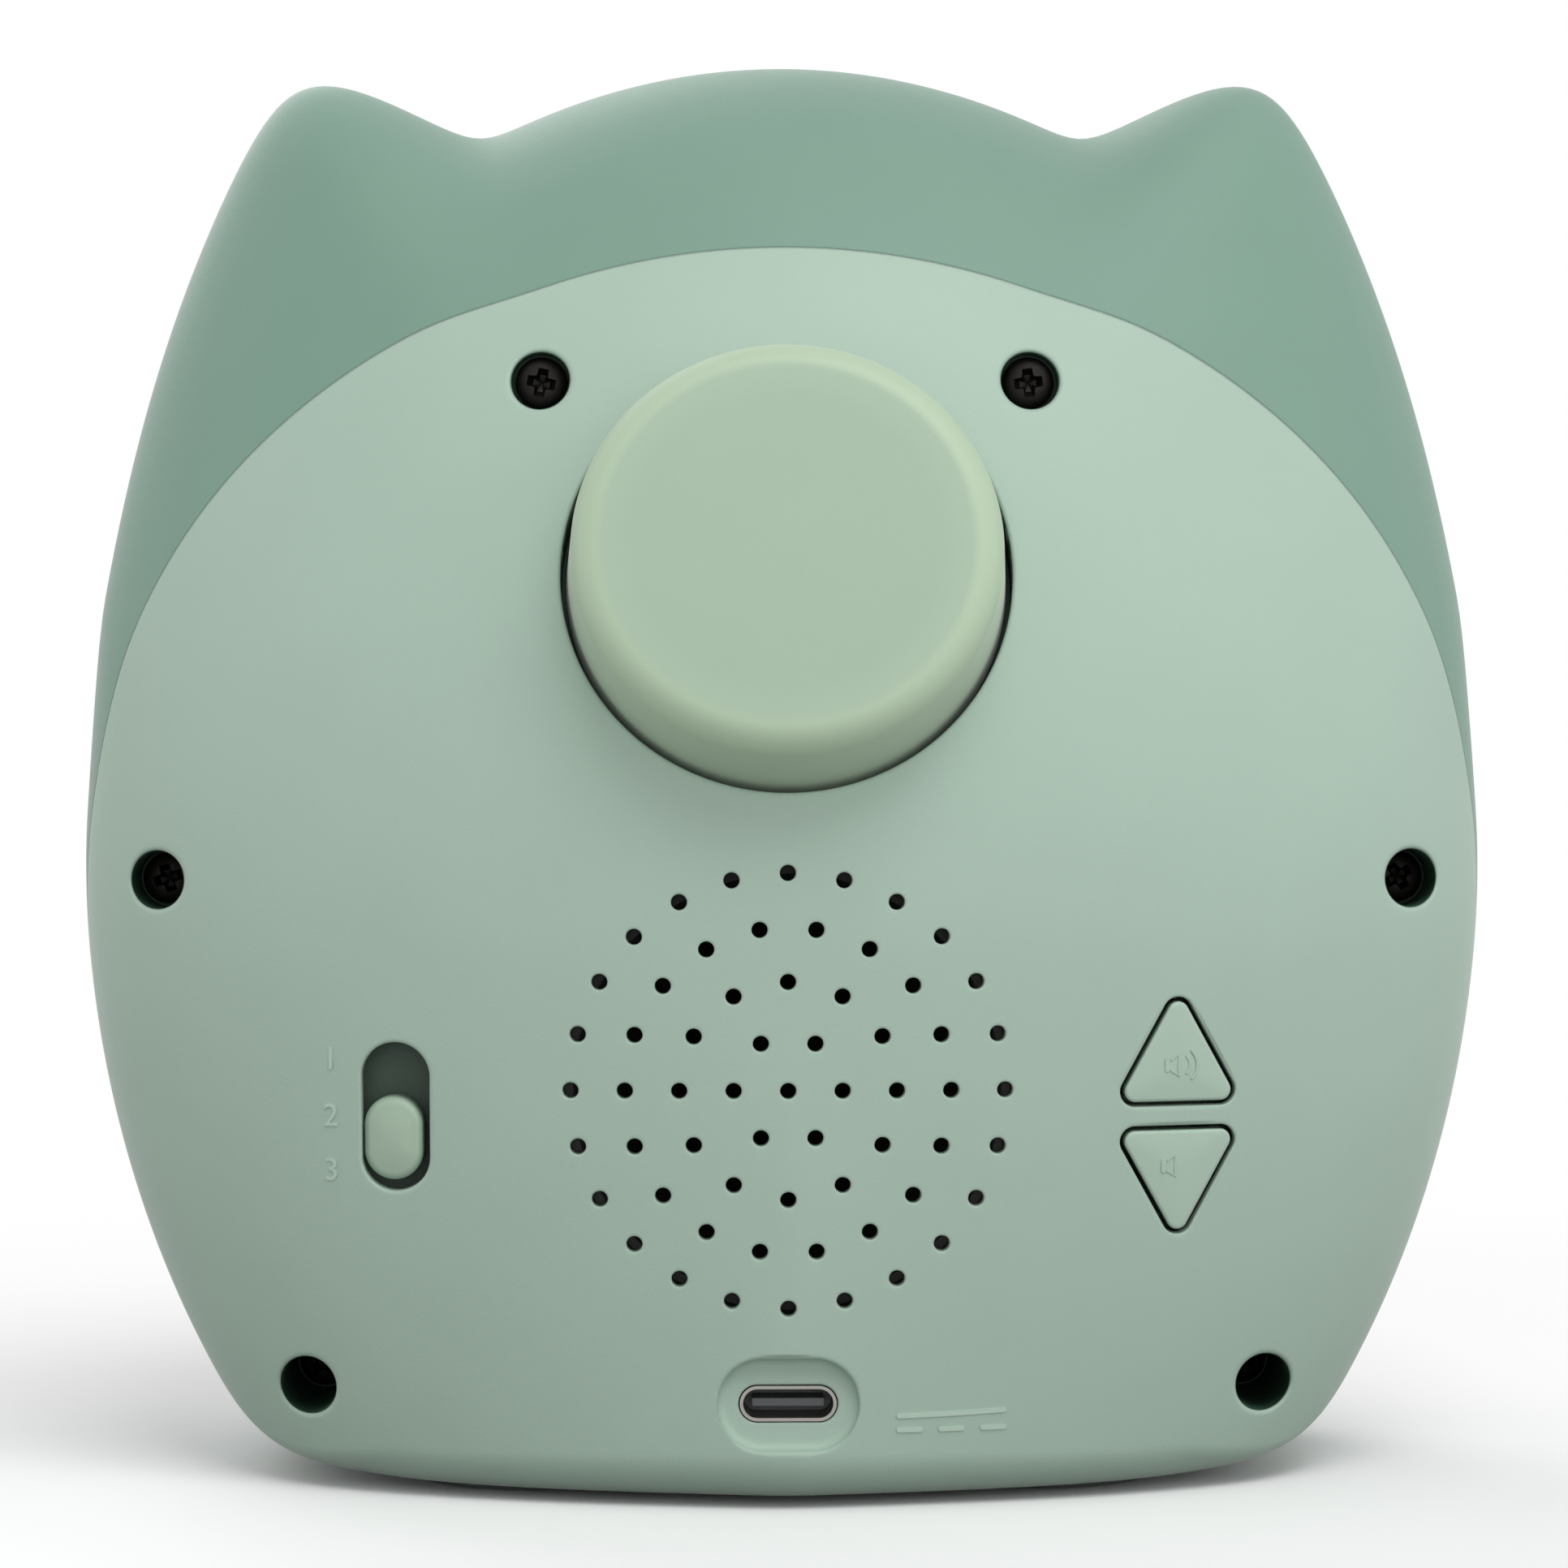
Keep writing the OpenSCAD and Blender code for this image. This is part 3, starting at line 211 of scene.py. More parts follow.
def part_t(th, w, off):
    """Where the skin crosses the parting plane moved by off, found by halving."""
    lo, hi = np.zeros_like(th), np.full_like(th, 1.45)
    for _ in range(40):
        m = (lo + hi) / 2
        p = skin(th, m, w)
        on = p[..., 1] > part_y(p[..., 2]) + off
        lo, hi = np.where(on, m, lo), np.where(on, hi, m)
    return (lo + hi) / 2


print("control side at the middle", skin_y(0, POLE_Z), "at the grille's rim", skin_y(20, 38.7))

# %% [markdown]
# ## Lofting a skin
# Blender has no loft operator, and a subdivided cage would only come near the outline. So each
# skin starts as the grid primitive, with one row of vertices per ring and one column per
# direction. Its vertices are moved on to the skin, its doubles are merged, which closes seam and
# poles, and its normals are turned outwards. The helpers before it select and clean one object.

# %% Selecting and cleaning
def only(*objs):
    """Selects these objects alone, the first as the active one."""
    bpy.ops.object.select_all(action="DESELECT")
    for o in objs:
        o.select_set(True)
    bpy.context.view_layer.objects.active = objs[0]


def tidy(o, merge=1e-7):
    """Merges doubles, drops what has no area and turns the faces outwards."""
    only(o)
    bpy.ops.object.mode_set(mode="EDIT")
    bpy.ops.mesh.select_all(action="SELECT")
    bpy.ops.mesh.remove_doubles(threshold=merge)
    bpy.ops.mesh.dissolve_degenerate(threshold=1e-8)
    bpy.ops.mesh.delete_loose()
    bpy.ops.mesh.select_all(action="SELECT")
    bpy.ops.mesh.normals_make_consistent(inside=False)
    bpy.ops.object.mode_set(mode="OBJECT")
    return o


def smooth(o, angle=35):
    """Smooth shading, with edges sharper than the angle left crisp."""
    only(o)
    bpy.ops.object.shade_smooth_by_angle(angle=math.radians(angle))
    return o


# %% Loft
def loft(name, rows, angle=35):
    """Surface through rows of points given in millimetres; each row closes on itself."""
    rows = np.asarray(rows, float) * MM
    rows = np.concatenate([rows, rows[:, :1]], 1)
    m, n = rows.shape[:2]
    bpy.ops.mesh.primitive_grid_add(x_subdivisions=n - 1, y_subdivisions=m - 1, size=1)
    o = bpy.context.object
    o.name = name
    o.data.name = name
    o.data.vertices.foreach_set("co", rows.reshape(-1))
    o.data.update()
    tidy(o)
    return smooth(o, angle)


print("lofts get", "all", "of their rows")

# %% [markdown]
# ## Colours and nodes
# A finish is a small tree of nodes. It could be laid out by hand in the shader editor, but a
# script can be read again later. Colours are written as sRGB hex, as a colour picker gives them,
# and one function turns them linear. One function adds a node: its settings are keywords, and
# each input is a value or the output of another node, so a tree reads from top to bottom.

# %% Colour and node helpers
def lin(hex_colour):
    """Linear colour with alpha from an sRGB hex value."""
    v = [int(hex_colour[i:i + 2], 16) / 255 for i in (1, 3, 5)]
    return tuple(c / 12.92 if c <= 0.04045 else ((c + 0.055) / 1.055) ** 2.4 for c in v) + (1.0,)


def fill(n, ins):
    """Gives inputs of node n their values, or links them where the value is an output."""
    for k, v in ins.items():
        if isinstance(v, bpy.types.NodeSocket):
            n.id_data.links.new(v, n.inputs[k])
        else:
            n.inputs[k].default_value = v
    return n


def node(tree, kind, ins=None, **props):
    """Adds a node with its settings and what goes into it."""
    n = tree.nodes.new(kind)
    for k, v in props.items():
        setattr(n, k, v)
    return fill(n, ins or {})


print("light shell, linear", [round(v, 3) for v in lin("#a2b9aa")])

# %% [markdown]
# ## Moulded plastic
# Most of the clock is moulded ABS. Its mould is spark-eroded, which leaves grains of about a tenth
# of a millimetre, and its colour drifts a little where it flowed. An image texture could show
# both, but a noise in Object coordinates needs no file and keeps its real size. The noise's scale
# is 1000 divided by the grain in millimetres, because lengths are in metres. The real grain is
# too fine to show at this distance, so it is drawn two to three times as coarse. The same noise
# moves the roughness a little, and a Bevel node softens the edges that the mesh leaves sharp.

# %% Plastic
def plastic(name, colour, rough=0.5, grain_mm=0.35, grain=0.08, mottle=0.03, bevel_mm=0.0,
            subsurface=0.0, ior=1.53, coat=0.0, sheen=0.0):
    """Moulded plastic: fine grain as bump, faint colour drift, soft edges where asked."""
    m = bpy.data.materials.new(name)
    m.use_nodes = True
    t = m.node_tree
    at = node(t, "ShaderNodeTexCoord").outputs["Object"]
    fine = node(t, "ShaderNodeTexNoise", {"Vector": at, "Scale": 1000.0 / grain_mm, "Detail": 2.0,
                                          "Roughness": 0.6}).outputs["Fac"]
    wide = node(t, "ShaderNodeTexNoise", {"Vector": at, "Scale": 90.0, "Detail": 3.0,
                                          "Roughness": 0.5}).outputs["Fac"]
    drift = node(t, "ShaderNodeMapRange", {"Value": wide, "From Min": 0.3, "From Max": 0.7,
                                           "To Min": 1 - mottle, "To Max": 1 + mottle})
    tint = node(t, "ShaderNodeVectorMath", {0: lin(colour)[:3], "Scale": drift.outputs["Result"]},
                operation="SCALE")
    worn = node(t, "ShaderNodeMapRange", {"Value": fine, "From Min": 0.3, "From Max": 0.7,
                                          "To Min": rough - 0.04, "To Max": rough + 0.04})
    bump = node(t, "ShaderNodeBump", {"Height": fine, "Strength": grain,
                                      "Distance": grain_mm * MM * 0.4})
    if bevel_mm:
        edge = node(t, "ShaderNodeBevel", {"Radius": bevel_mm * MM}, samples=6)
        fill(bump, {"Normal": edge.outputs["Normal"]})
    fill(t.nodes["Principled BSDF"], {
        "Base Color": tint.outputs["Vector"], "Roughness": worn.outputs["Result"],
        "Normal": bump.outputs["Normal"], "IOR": ior, "Coat Weight": coat, "Coat Roughness": 0.12,
        "Sheen Weight": sheen, "Sheen Roughness": 0.35, "Subsurface Weight": subsurface,
        "Subsurface Radius": (0.004, 0.004, 0.004), "Subsurface Scale": 1.0})
    return m


print("noise scale of a grain of 0.3 mm", round(1000.0 / 0.3))

# %% [markdown]
# ## Metal
# Screws, bushings and sockets are drawn, rolled or turned, which leaves fine lines along one
# direction. An anisotropic highlight could stand for them, but it needs a tangent on every piece.
# So a Mapping node squeezes the noise along Y where a piece has lines across it, and the noise
# changes the roughness more than the height. Real lines are a few hundredths of a millimetre
# apart, too fine to show, so they are drawn coarser. The metal keeps Blender's own IOR.

# %% Metal
def metal(name, colour, rough=0.3, grain_mm=0.2, grain=0.05, stretch=1.0):
    """Metal with fine marks of grain_mm, stretch times as close along Y as across it."""
    m = bpy.data.materials.new(name)
    m.use_nodes = True
    t = m.node_tree
    at = node(t, "ShaderNodeTexCoord").outputs["Object"]
    drawn = node(t, "ShaderNodeMapping", {"Vector": at, "Scale": (1.0, stretch, 1.0)})
    fine = node(t, "ShaderNodeTexNoise", {"Vector": drawn.outputs["Vector"],
                                          "Scale": 1000.0 / grain_mm, "Detail": 2.0}).outputs["Fac"]
    worn = node(t, "ShaderNodeMapRange", {"Value": fine, "From Min": 0.3, "From Max": 0.7,
                                          "To Min": max(0.05, rough - 0.08), "To Max": rough + 0.1})
    bump = node(t, "ShaderNodeBump", {"Height": fine, "Strength": grain, "Distance": 0.00003})
    fill(t.nodes["Principled BSDF"], {
        "Metallic": 1.0, "Base Color": lin(colour), "Roughness": worn.outputs["Result"],
        "Normal": bump.outputs["Normal"]})
    return m


print("noise scale of marks of 0.2 mm", round(1000.0 / 0.2))

# %% [markdown]
# ## Finishes on the outside
# The shells are ABS sprayed with a soft-touch coat, whose dull film gives a sheen towards the
# edges. The dial, cap and buttons are bare ABS, a little smoother. The panel is opal
# polycarbonate that scatters light, and the window is smoked acrylic that one can look into.
# All could share one plastic with a new colour each, but the eye tells them apart by how dull,
# deep or clear they are, so every one has its own grain, roughness, sheen and depth.

# %% Shells, controls, face
M = {
    # soft-touch coat: no clear reflection, pale along the edges, grit of 0.3 mm just seen
    "light": plastic("ABS_soft_touch_light_sage", "#a2b9aa", 0.56, 0.3, 0.16, 0.012, 0.35,
                     sheen=0.22),
    "hood": plastic("ABS_soft_touch_deep_sage", "#719282", 0.56, 0.3, 0.16, 0.012, 0.25,
                    sheen=0.22),
    # bare spark-eroded ABS: dull, a warmer green on the dial, finer grain than the coat
    "dial": plastic("ABS_spark_eroded_pale_sage", "#9bb19b", 0.5, 0.22, 0.10, 0.01, 0.15,
                    sheen=0.3),
    "cap": plastic("ABS_moulded_switch_cap", "#a3b9a5", 0.5, 0.22, 0.08, 0.01, 0.15),
    "button": plastic("ABS_moulded_button", "#a7bdad", 0.52, 0.25, 0.08, 0.01, 0.12),
    # raised marks: a little paler than their shell
    "marks": plastic("ABS_moulded_raised_marks", "#b3c9ba", 0.5, 0.3, 0.05, 0.01),
    # painted shade: deep tubes and the dial's well coloured nearly black green, no shine
    "hole_shade": plastic("ABS_black_green_painted_shade", "#2c4a3a", 0.6, 0.3, 0.08, 0.03),
    # painted shade: the plate under the switch's slot coloured dark green, no shine
    "dark": plastic("Nylon_dark_green_painted_shade", "#264533", 0.5, 0.25, 0.08, 0.03),
    # opal: milky, light goes a few millimetres in
    "opal": plastic("Polycarbonate_opal_moulded", "#f0ede4", 0.42, 0.5, 0.05, 0.01, 0.2, 0.6,
                    1.58),
    # polished mould: clear small highlights on eyes and nose
    "trim": plastic("ABS_polished_dark_green", "#26302b", 0.18, 0.6, 0.02, 0.01, 0.2, coat=0.5),
    # silicone: dull and slightly dusty, soft edge
    "rubber": plastic("Silicone_rubber_moulded", "#4a524e", 0.7, 0.3, 0.15, 0.03, 0.2),
    # polished smoked acrylic: mirrors the room and lets the digits show through
    "window": plastic("Acrylic_smoked_polished", "#c2c6c8", 0.06, 1.5, 0.01, 0.01, ior=1.49),
}
fill(M["window"].node_tree.nodes["Principled BSDF"], {"Transmission Weight": 1.0})
print("outside finishes", sorted(M))

# %% [markdown]
# ## Finishes inside
# The inside shows through the grille, the slots and the window, and when the clock is taken
# apart. Boards are glass cloth in epoxy under a glossy mask, so their grain is the weave, about
# 0.8 mm. The speaker's cone is pressed paper, coarse and matt. Tracks and print could be drawn on
# the boards too, but nobody would see them in there, so the finishes stay plain and true.

# %% Boards, chips, speaker, metals
M.update({
    # ABS with white pigment: throws the night light about, hardly any grain
    "white": plastic("ABS_moulded_white", "#eceee8", 0.5, 0.4, 0.05, 0.01),
    # solder mask: glossy over a faint weave
    "board": plastic("Glass_epoxy_green_mask", "#2c5a42", 0.3, 0.8, 0.06, 0.05, coat=0.4),
    "boardw": plastic("Glass_epoxy_white_mask", "#e6e9e4", 0.3, 0.8, 0.06, 0.02, coat=0.4),
    # moulded epoxy: grey-black, sandy
    "black": plastic("Epoxy_moulded_black", "#191b1d", 0.45, 0.2, 0.12, 0.05),
    # phosphor in clear silicone: warm yellow, slightly deep
    "phosphor": plastic("Silicone_phosphor_cast", "#f3dc8a", 0.35, 0.2, 0.06, 0.04,
                        subsurface=0.3),
    # milky epoxy in the bars: even and pale, no depth
    "segment": plastic("Epoxy_diffusing_cast", "#f6f3e4", 0.4, 0.2, 0.04, 0.02),
    # acetal: waxy, a little smoother than ABS
    "acetal": plastic("Acetal_moulded_grey", "#6a6d6e", 0.4, 0.3, 0.05, 0.02),
    # liquid-crystal polymer: dense dark grey, silky
    "tongue": plastic("LCP_moulded_grey", "#4a4d50", 0.45, 0.2, 0.05, 0.02),
    # open cells: very rough, deep grain
    "foam": plastic("Foam_rubber_die_cut", "#2a2b2d", 0.9, 0.5, 0.5, 0.06),
    # pressed paper: fibres, no shine at all
    "cone": plastic("Paper_pressed_cone", "#2c2f31", 0.8, 0.6, 0.35, 0.06),
    # extruded PVC: smooth along its length, a soft shine
    "wire_red": plastic("PVC_extruded_red", "#7d2c28", 0.42, 0.5, 0.04, 0.03),
    "wire_black": plastic("PVC_extruded_black", "#222426", 0.42, 0.5, 0.04, 0.03),
    # zinc plate: bright grey, a little hazy
    "steel": metal("Steel_zinc_plated", "#b6b9bb", 0.32),
    # black oxide: warm black, oily and dull
    "screw": metal("Steel_black_oxide", "#2b2927", 0.5, 0.15, 0.2),
    # drawn strip folded into the socket's shell: its fine lines run round the shell
    "shell": metal("Stainless_steel_drawn", "#8d8b86", 0.34, 0.2, 0.05, 6.0),
    # deep-drawn aluminium: pale and fairly bright
    "can": metal("Aluminium_drawn_can", "#a2a5a8", 0.28),
})
print("finishes", len(M))

# %% [markdown]
# ## Finishes on the fixed parts
# The frame brings some fifty inner pieces with plain grey meshes, and every one names a material
# slot in its record. Each could be painted in a line of its own. A small table from slot to
# finish is shorter, and a new part with a known slot is painted too. A few parts get their own.

# %% Painting
def paint(o, key):
    """Gives an object one finish."""
    o.data.materials.clear()
    o.data.materials.append(M[key])
    return o


SLOT_FINISH = {
    "light_shell": "light", "hood_shell": "hood", "dial_cap": "dial", "switch_cap": "cap",
    "volume_buttons": "button", "opal": "opal", "window": "window", "face_trim": "trim",
    "white_inner": "white", "white_board": "boardw", "leds": "phosphor", "green_board": "board",
    # switch_dark parts take the painted shade of the plate under the slot
    "black_part": "black", "digits": "segment", "switch_dark": "dark",
    "plunger_grey": "acetal", "steel": "steel", "black_steel": "screw", "can": "can",
    "tongue": "tongue", "foam": "foam", "cone": "cone", "feet": "rubber", "leads": "wire_red",
}
slot_of = {s["node"]: s.get("material_slot") for s in frame["record"]["subparts"]}
for n, o in NODES.items():
    paint(o, SLOT_FINISH.get(slot_of.get(n), "black"))
paint(NODES["usb_shell"], "shell")
for n in ("speaker_basket", "speaker_magnet", "speaker_retainer"):
    paint(NODES[n], "black")
paint(NODES["power_leads"], "wire_black")
print("painted", len(slot_of))

# %% [markdown]
# ## Light rear shell
# The real one is a single moulding: outer skin, a lip at the parting line, and the inside 2.2 mm
# below. A Solidify modifier could give such a wall, but not the lip's step. So it is lofted in the
# order of the wall, from the pole out to the parting plane and back inside, as one closed mesh.
# The directions stand closer together at the ears and at the bottom corners, where the outline
# turns fast.

# %% Directions
N_TURN = 420


def turn_list(n):
    """n directions round the pole, closer together at the ears and the floor's corners."""
    u = np.linspace(-90, 270, 4001)
    fold = np.where(u <= 90, u, 180 - u)
    weight = 1 + 1.6 * np.exp(-((fold - 60) / 16) ** 2) + 1.6 * np.exp(-((fold + 43) / 9) ** 2)
    total = np.concatenate([[0], np.cumsum((weight[1:] + weight[:-1]) / 2)])
    return np.interp(np.linspace(0, total[-1], n, endpoint=False), total, u)


TH = turn_list(N_TURN)
print("directions", N_TURN, "closest", round(float(np.diff(TH).min()), 3), "degrees apart")

# %% Shell without openings
def back_rows(w, off, fracs):
    """Rings from the pole (0) to the parting plane (1), inset by w."""
    p = part_t(TH, w, off)
    q = np.minimum(dome_parts(TH, w)[6], p * 0.85)
    return [skin(TH, np.where(f < 0.7, q * f / 0.7, q + (p - q) * (f - 0.7) / 0.3), w)
            for f in fracs]


def pole_row(y):
    """A ring drawn together to one point on the pole."""
    return np.tile(np.array([0.0, y, POLE_Z]), (N_TURN, 1))


n_rows = 84
outer = np.concatenate([np.linspace(0.02, 0.7, n_rows), np.linspace(0.7, 1, 14)[1:]])
inner = [1.0, 0.85, 0.7, 0.62, 0.5, 0.36, 0.2, 0.08]
rows = [pole_row(BACK_Y)] + back_rows(0, 0, outer)
rows += back_rows(WALL - LIP_T, 0, [1.0]) + back_rows(WALL - LIP_T, -LIP, [1.0])
rows += back_rows(WALL, -LIP, inner) + [pole_row(BACK_Y - WALL)]
rear = loft("rear_case", rows, 32)
print("rear skin", len(rear.data.polygons), "faces")

# %% [markdown]
# ## Openings
# Six screw holes, a 61-hole grille, the slot, two button openings, the dished inlet and the
# dial's well. Each is cut by a closed cutter whose mouth widens along a quarter round, as a
# mould's edges do. A Bevel modifier on the finished cut would be quicker to write, but it fails
# on thin walls and small holes.

# %% Places of the openings
SCREWS = [(s * HALF_W * x, z, y) for x, z, y in ((0.3355, 105.0, 20.4), (0.869, 57.8, 9.0),
                                                 (0.6565, 10.0, 3.0)) for s in (-1, 1)]
SCREW_HOLE_D, SPK_Z, HOLE_D, HOLE_PITCH = 5.7, 38.7, 1.5, 5.0
SLOT, SLOT_W, SLOT_L = (HALF_W * 0.5275, 36.0), 6.5, 13.9
USB_Z, USB_Y = 9.75, 33.4
DISH_W, DISH_H, DISH_R, DISH_MOUTH = 13.1, 8.6, 0.8, 0.3  # recess round the power socket
SOCKET_W, SOCKET_H = 9.2, 3.52  # opening that the socket's shell stands in
SCREW_MOUTH, SLOT_MOUTH, TRI_MOUTH, HOLE_MOUTH, WELL_MOUTH = 0.45, 0.3, 0.2, 0.12, 0.35
IN_Y, GRILLE_Y, OUT_Y = 20, 26, 60  # cutters run from inside the case to clear of it
TRI_X, TRI_W, TRI_H, TRI_GAP = -HALF_W * 0.527, 10.7, 10.4, 0.45
TRI_UP, TRI_DOWN = 37.3, 34.6
TILT, WELL_R = math.radians(16), 21.05
KNOB = Vector((0, BACK_Y - 4.4, SPK_Z + 22.5 + 3.45 + (WELL_R + 2.2) * math.cos(TILT))) * MM
print("dial's middle", [round(v / MM, 2) for v in KNOB])

# %% Rounded mouths
def rounding(f, steps=5):
    """Pairs of growth and depth that round a mouth by f, from the skin down."""
    out = [(f + 0.05, -f * 0.02)]
    for a in np.linspace(0, math.pi / 2, steps + 1)[1:]:
        out.append((f * (1 - math.sin(a)), f * (1 - math.cos(a))))
    return out


def row(xz, y):
    """Points over an x, z outline at depth y, a number or one for each point."""
    return np.column_stack([xz[:, 0], np.broadcast_to(y, (len(xz),)), xz[:, 1]])


def rimmed(outline_at, f, y0):
    """Cutter through the skin down to y0; outline_at(g) is its outline grown by g."""
    wide, tight = outline_at(f + 0.05), outline_at(0.0)
    mid = np.tile(tight.mean(0), (len(tight), 1))
    rows = [row(mid, OUT_Y), row(wide, OUT_Y)]
    for g, d in rounding(f):
        xz = outline_at(g)
        rows.append(row(xz, skin_y(xz[:, 0], xz[:, 1]) - d))
    return loft("rimmed", rows + [row(tight, y0), row(mid, y0)])


print("growth and depth of a mouth of 0.3 mm", np.round(rounding(0.3), 2).tolist())

# %% Circle and slot
def circle(x, z, d, n=64):
    """Function that gives the circle's outline grown by g."""
    a = np.linspace(0, 2 * math.pi, n, endpoint=False)
    return lambda g: np.column_stack([x + (d / 2 + g) * np.cos(a), z + (d / 2 + g) * np.sin(a)])


def stadium(w, h, n=64):
    """Outline of a slot w wide and h high about the origin, as x, z points."""
    a = np.linspace(0, 2 * math.pi, n, endpoint=False) + 1e-6
    r, side = min(w, h) / 2, (max(w, h) - min(w, h)) / 2
    x, z = r * np.cos(a), r * np.sin(a)
    if h >= w:
        return np.stack([x, z + np.sign(np.sin(a)) * side], -1)
    return np.stack([x + np.sign(np.cos(a)) * side, z], -1)


print("slot", np.ptp(stadium(SLOT_W, SLOT_L), 0), "mm")

# %% Triangle of a volume button
def tri_outline(up, grow, n=20):
    """Rounded triangle with its apex up or down: three corners rolled round by grow."""
    r, base = 1.0 + grow, 1.0
    pts = [(0, TRI_H - 2.1), (TRI_W / 2 - 1.25, base), (-TRI_W / 2 + 1.25, base)]
    out = []
    for i in range(3):
        p, a, c = np.array(pts[i]), np.array(pts[i - 1]), np.array(pts[(i + 1) % 3])
        n1 = np.array([-(p - a)[1], (p - a)[0]]) / np.linalg.norm(p - a)
        n2 = np.array([-(c - p)[1], (c - p)[0]]) / np.linalg.norm(c - p)
        a1, a2 = math.atan2(*n1[::-1]), math.atan2(*n2[::-1])
        while a2 > a1:
            a2 -= 2 * math.pi
        out += [p + r * np.array([math.cos(t), math.sin(t)]) for t in np.linspace(a1, a2, n)]
    out = np.array(out)
    return np.stack([out[:, 0] + TRI_X,
                     out[:, 1] * (1 if up else -1) + (TRI_UP if up else TRI_DOWN)], -1)


print("button", np.round(np.ptp(tri_outline(True, 0), 0), 2), "mm")

# %% Dial's axis and well
def along_dial(r, h, n=192):
    """Ring of radius r at height h (a number or one per point) on the dial's tilted axis."""
    a = np.linspace(0, 2 * math.pi, n, endpoint=False)
    u, v, k = r * np.cos(a), r * np.sin(a), np.broadcast_to(h, (n,))
    y = KNOB.y / MM + v * math.sin(-TILT) + k * math.cos(TILT)
    z = KNOB.z / MM + v * math.cos(TILT) + k * math.sin(TILT)
    return np.column_stack([u, y, z])


def skin_reach(r, w, n=192):
    """Height on the dial's axis at which a ring of radius r meets the skin inset by w."""
    lo, hi = np.full(n, -12.0), np.full(n, 12.0)
    for _ in range(30):
        m = (lo + hi) / 2
        p = along_dial(r, m, n)
        under = p[:, 1] < skin_y(p[:, 0], p[:, 2], w)
        lo, hi = np.where(under, m, lo), np.where(under, hi, m)
    return lo


def well_cutter(f=WELL_MOUTH):
    """Cutter about the dial's axis, with its mouth rounded by f along the skin."""
    rows = [along_dial(0, 40), along_dial(WELL_R + f + 0.05, 40)]
    rows += [along_dial(WELL_R + g, skin_reach(WELL_R + g, 0) - d) for g, d in rounding(f)]
    return loft("well_cutter", rows + [along_dial(WELL_R, -8), along_dial(0, -8)])


print("well's mouth lies", np.round(skin_reach(WELL_R, 0)[[48, 144]], 2), "above the axis' middle")

# %% Inlet's dish
def dish(w, h, y_floor, r, f, y_top):
    """Stadium pocket whose floor meets its walls in a radius r and whose mouth is rounded by f."""
    mid = np.tile([0.0, USB_Z], (64, 1))
    rows = [row(mid, y_floor)]
    for a in np.linspace(0, math.pi / 2, 7):
        inset = 2 * r * (1 - math.sin(a))
        rows.append(row(stadium(w - inset, h - inset) + (0, USB_Z),
                        y_floor + r * (1 - math.cos(a))))
    for g, d in rounding(f)[::-1]:
        s = stadium(w + 2 * g, h + 2 * g) + (0, USB_Z)
        rows.append(row(s, np.maximum(skin_y(s[:, 0], s[:, 1]) - d, y_floor + r + 0.1 - d * 0.2)))
    return loft("dish", rows + [row(s, y_top), row(mid, y_top)])


print("middle of the inlet is", USB_Z, "above the table, its floor", USB_Y, "out")

# %% Plain prism
def prism(outline, y0, y1):
    """Closed prism along Y from an x, z outline."""
    mid = np.tile(outline.mean(0), (len(outline), 1))
    return loft("prism", [row(mid, y0), row(outline, y0), row(outline, y1), row(mid, y1)])


socket = stadium(SOCKET_W, SOCKET_H) + (0, USB_Z)
print("socket", np.round(np.ptp(socket, 0), 2), "mm")

# %% Cutting and joining
def boolean(o, cutter):
    """Cuts one closed mesh out of another and removes the cutter."""
    only(o)
    m = o.modifiers.new("cut", "BOOLEAN")
    m.operation = "DIFFERENCE"
    m.solver = "EXACT"
    m.object = cutter
    bpy.ops.object.modifier_apply(modifier="cut")
    bpy.data.objects.remove(cutter)
    return o


def join(objs, name):
    """Makes one named object of several."""
    only(*objs)
    if len(objs) > 1:
        bpy.ops.object.join()
    o = bpy.context.object
    o.name = name
    o.data.name = name
    return o


print("faces of the rear shell before it is cut", len(rear.data.polygons))

# %% All openings of the rear shell
def slot_outline(g):
    return stadium(SLOT_W + 2 * g, SLOT_L + 2 * g) + np.array(SLOT)


def grille_hole(x, z):
    return rimmed(circle(x, SPK_Z + z, HOLE_D, 24), HOLE_MOUTH, GRILLE_Y)


cuts = [rimmed(circle(x, z, SCREW_HOLE_D), SCREW_MOUTH, y - 2) for x, z, y in SCREWS]
cuts.append(rimmed(slot_outline, SLOT_MOUTH, IN_Y))
cuts += [rimmed(lambda g, up=up: tri_outline(up, TRI_GAP + g), TRI_MOUTH, IN_Y)
         for up in (True, False)]
cuts.append(grille_hole(0, 0))
for k, count in ((1, 6), (2, 12), (3, 18), (4, 24)):
    for i in range(count):
        a, r = 2 * math.pi * i / count, k * HOLE_PITCH
        cuts.append(grille_hole(r * math.cos(a), r * math.sin(a)))
print("cutters", len(cuts))
rear = boolean(rear, join(cuts, "cutters"))
rear = boolean(rear, well_cutter())
rear = boolean(rear, dish(DISH_W, DISH_H, USB_Y, DISH_R, DISH_MOUTH, OUT_Y))
rear = boolean(rear, prism(socket, IN_Y, OUT_Y))
smooth(rear, 32)
print("rear case", len(rear.data.polygons), [round(v, 4) for v in rear.dimensions])

# %% [markdown]
# ## Walls inside the openings
# Behind the skin the screw holes run on as tubes to the screws' seats, the well as a cup, and the
# inlet's dish has a floor round the socket. On the real shell they are one moulding with it, and
# a union could make them so. Separate closed pieces just under the skin keep each cut simple.
# Tubes and cup are painted nearly black green, a painted shade for the depth of holes and well.

# %% Screw tubes and their seats
def place(o):
    """Writes the object's transform into its vertices."""
    only(o)
    bpy.ops.object.transform_apply(location=True, rotation=True, scale=True)
    return o


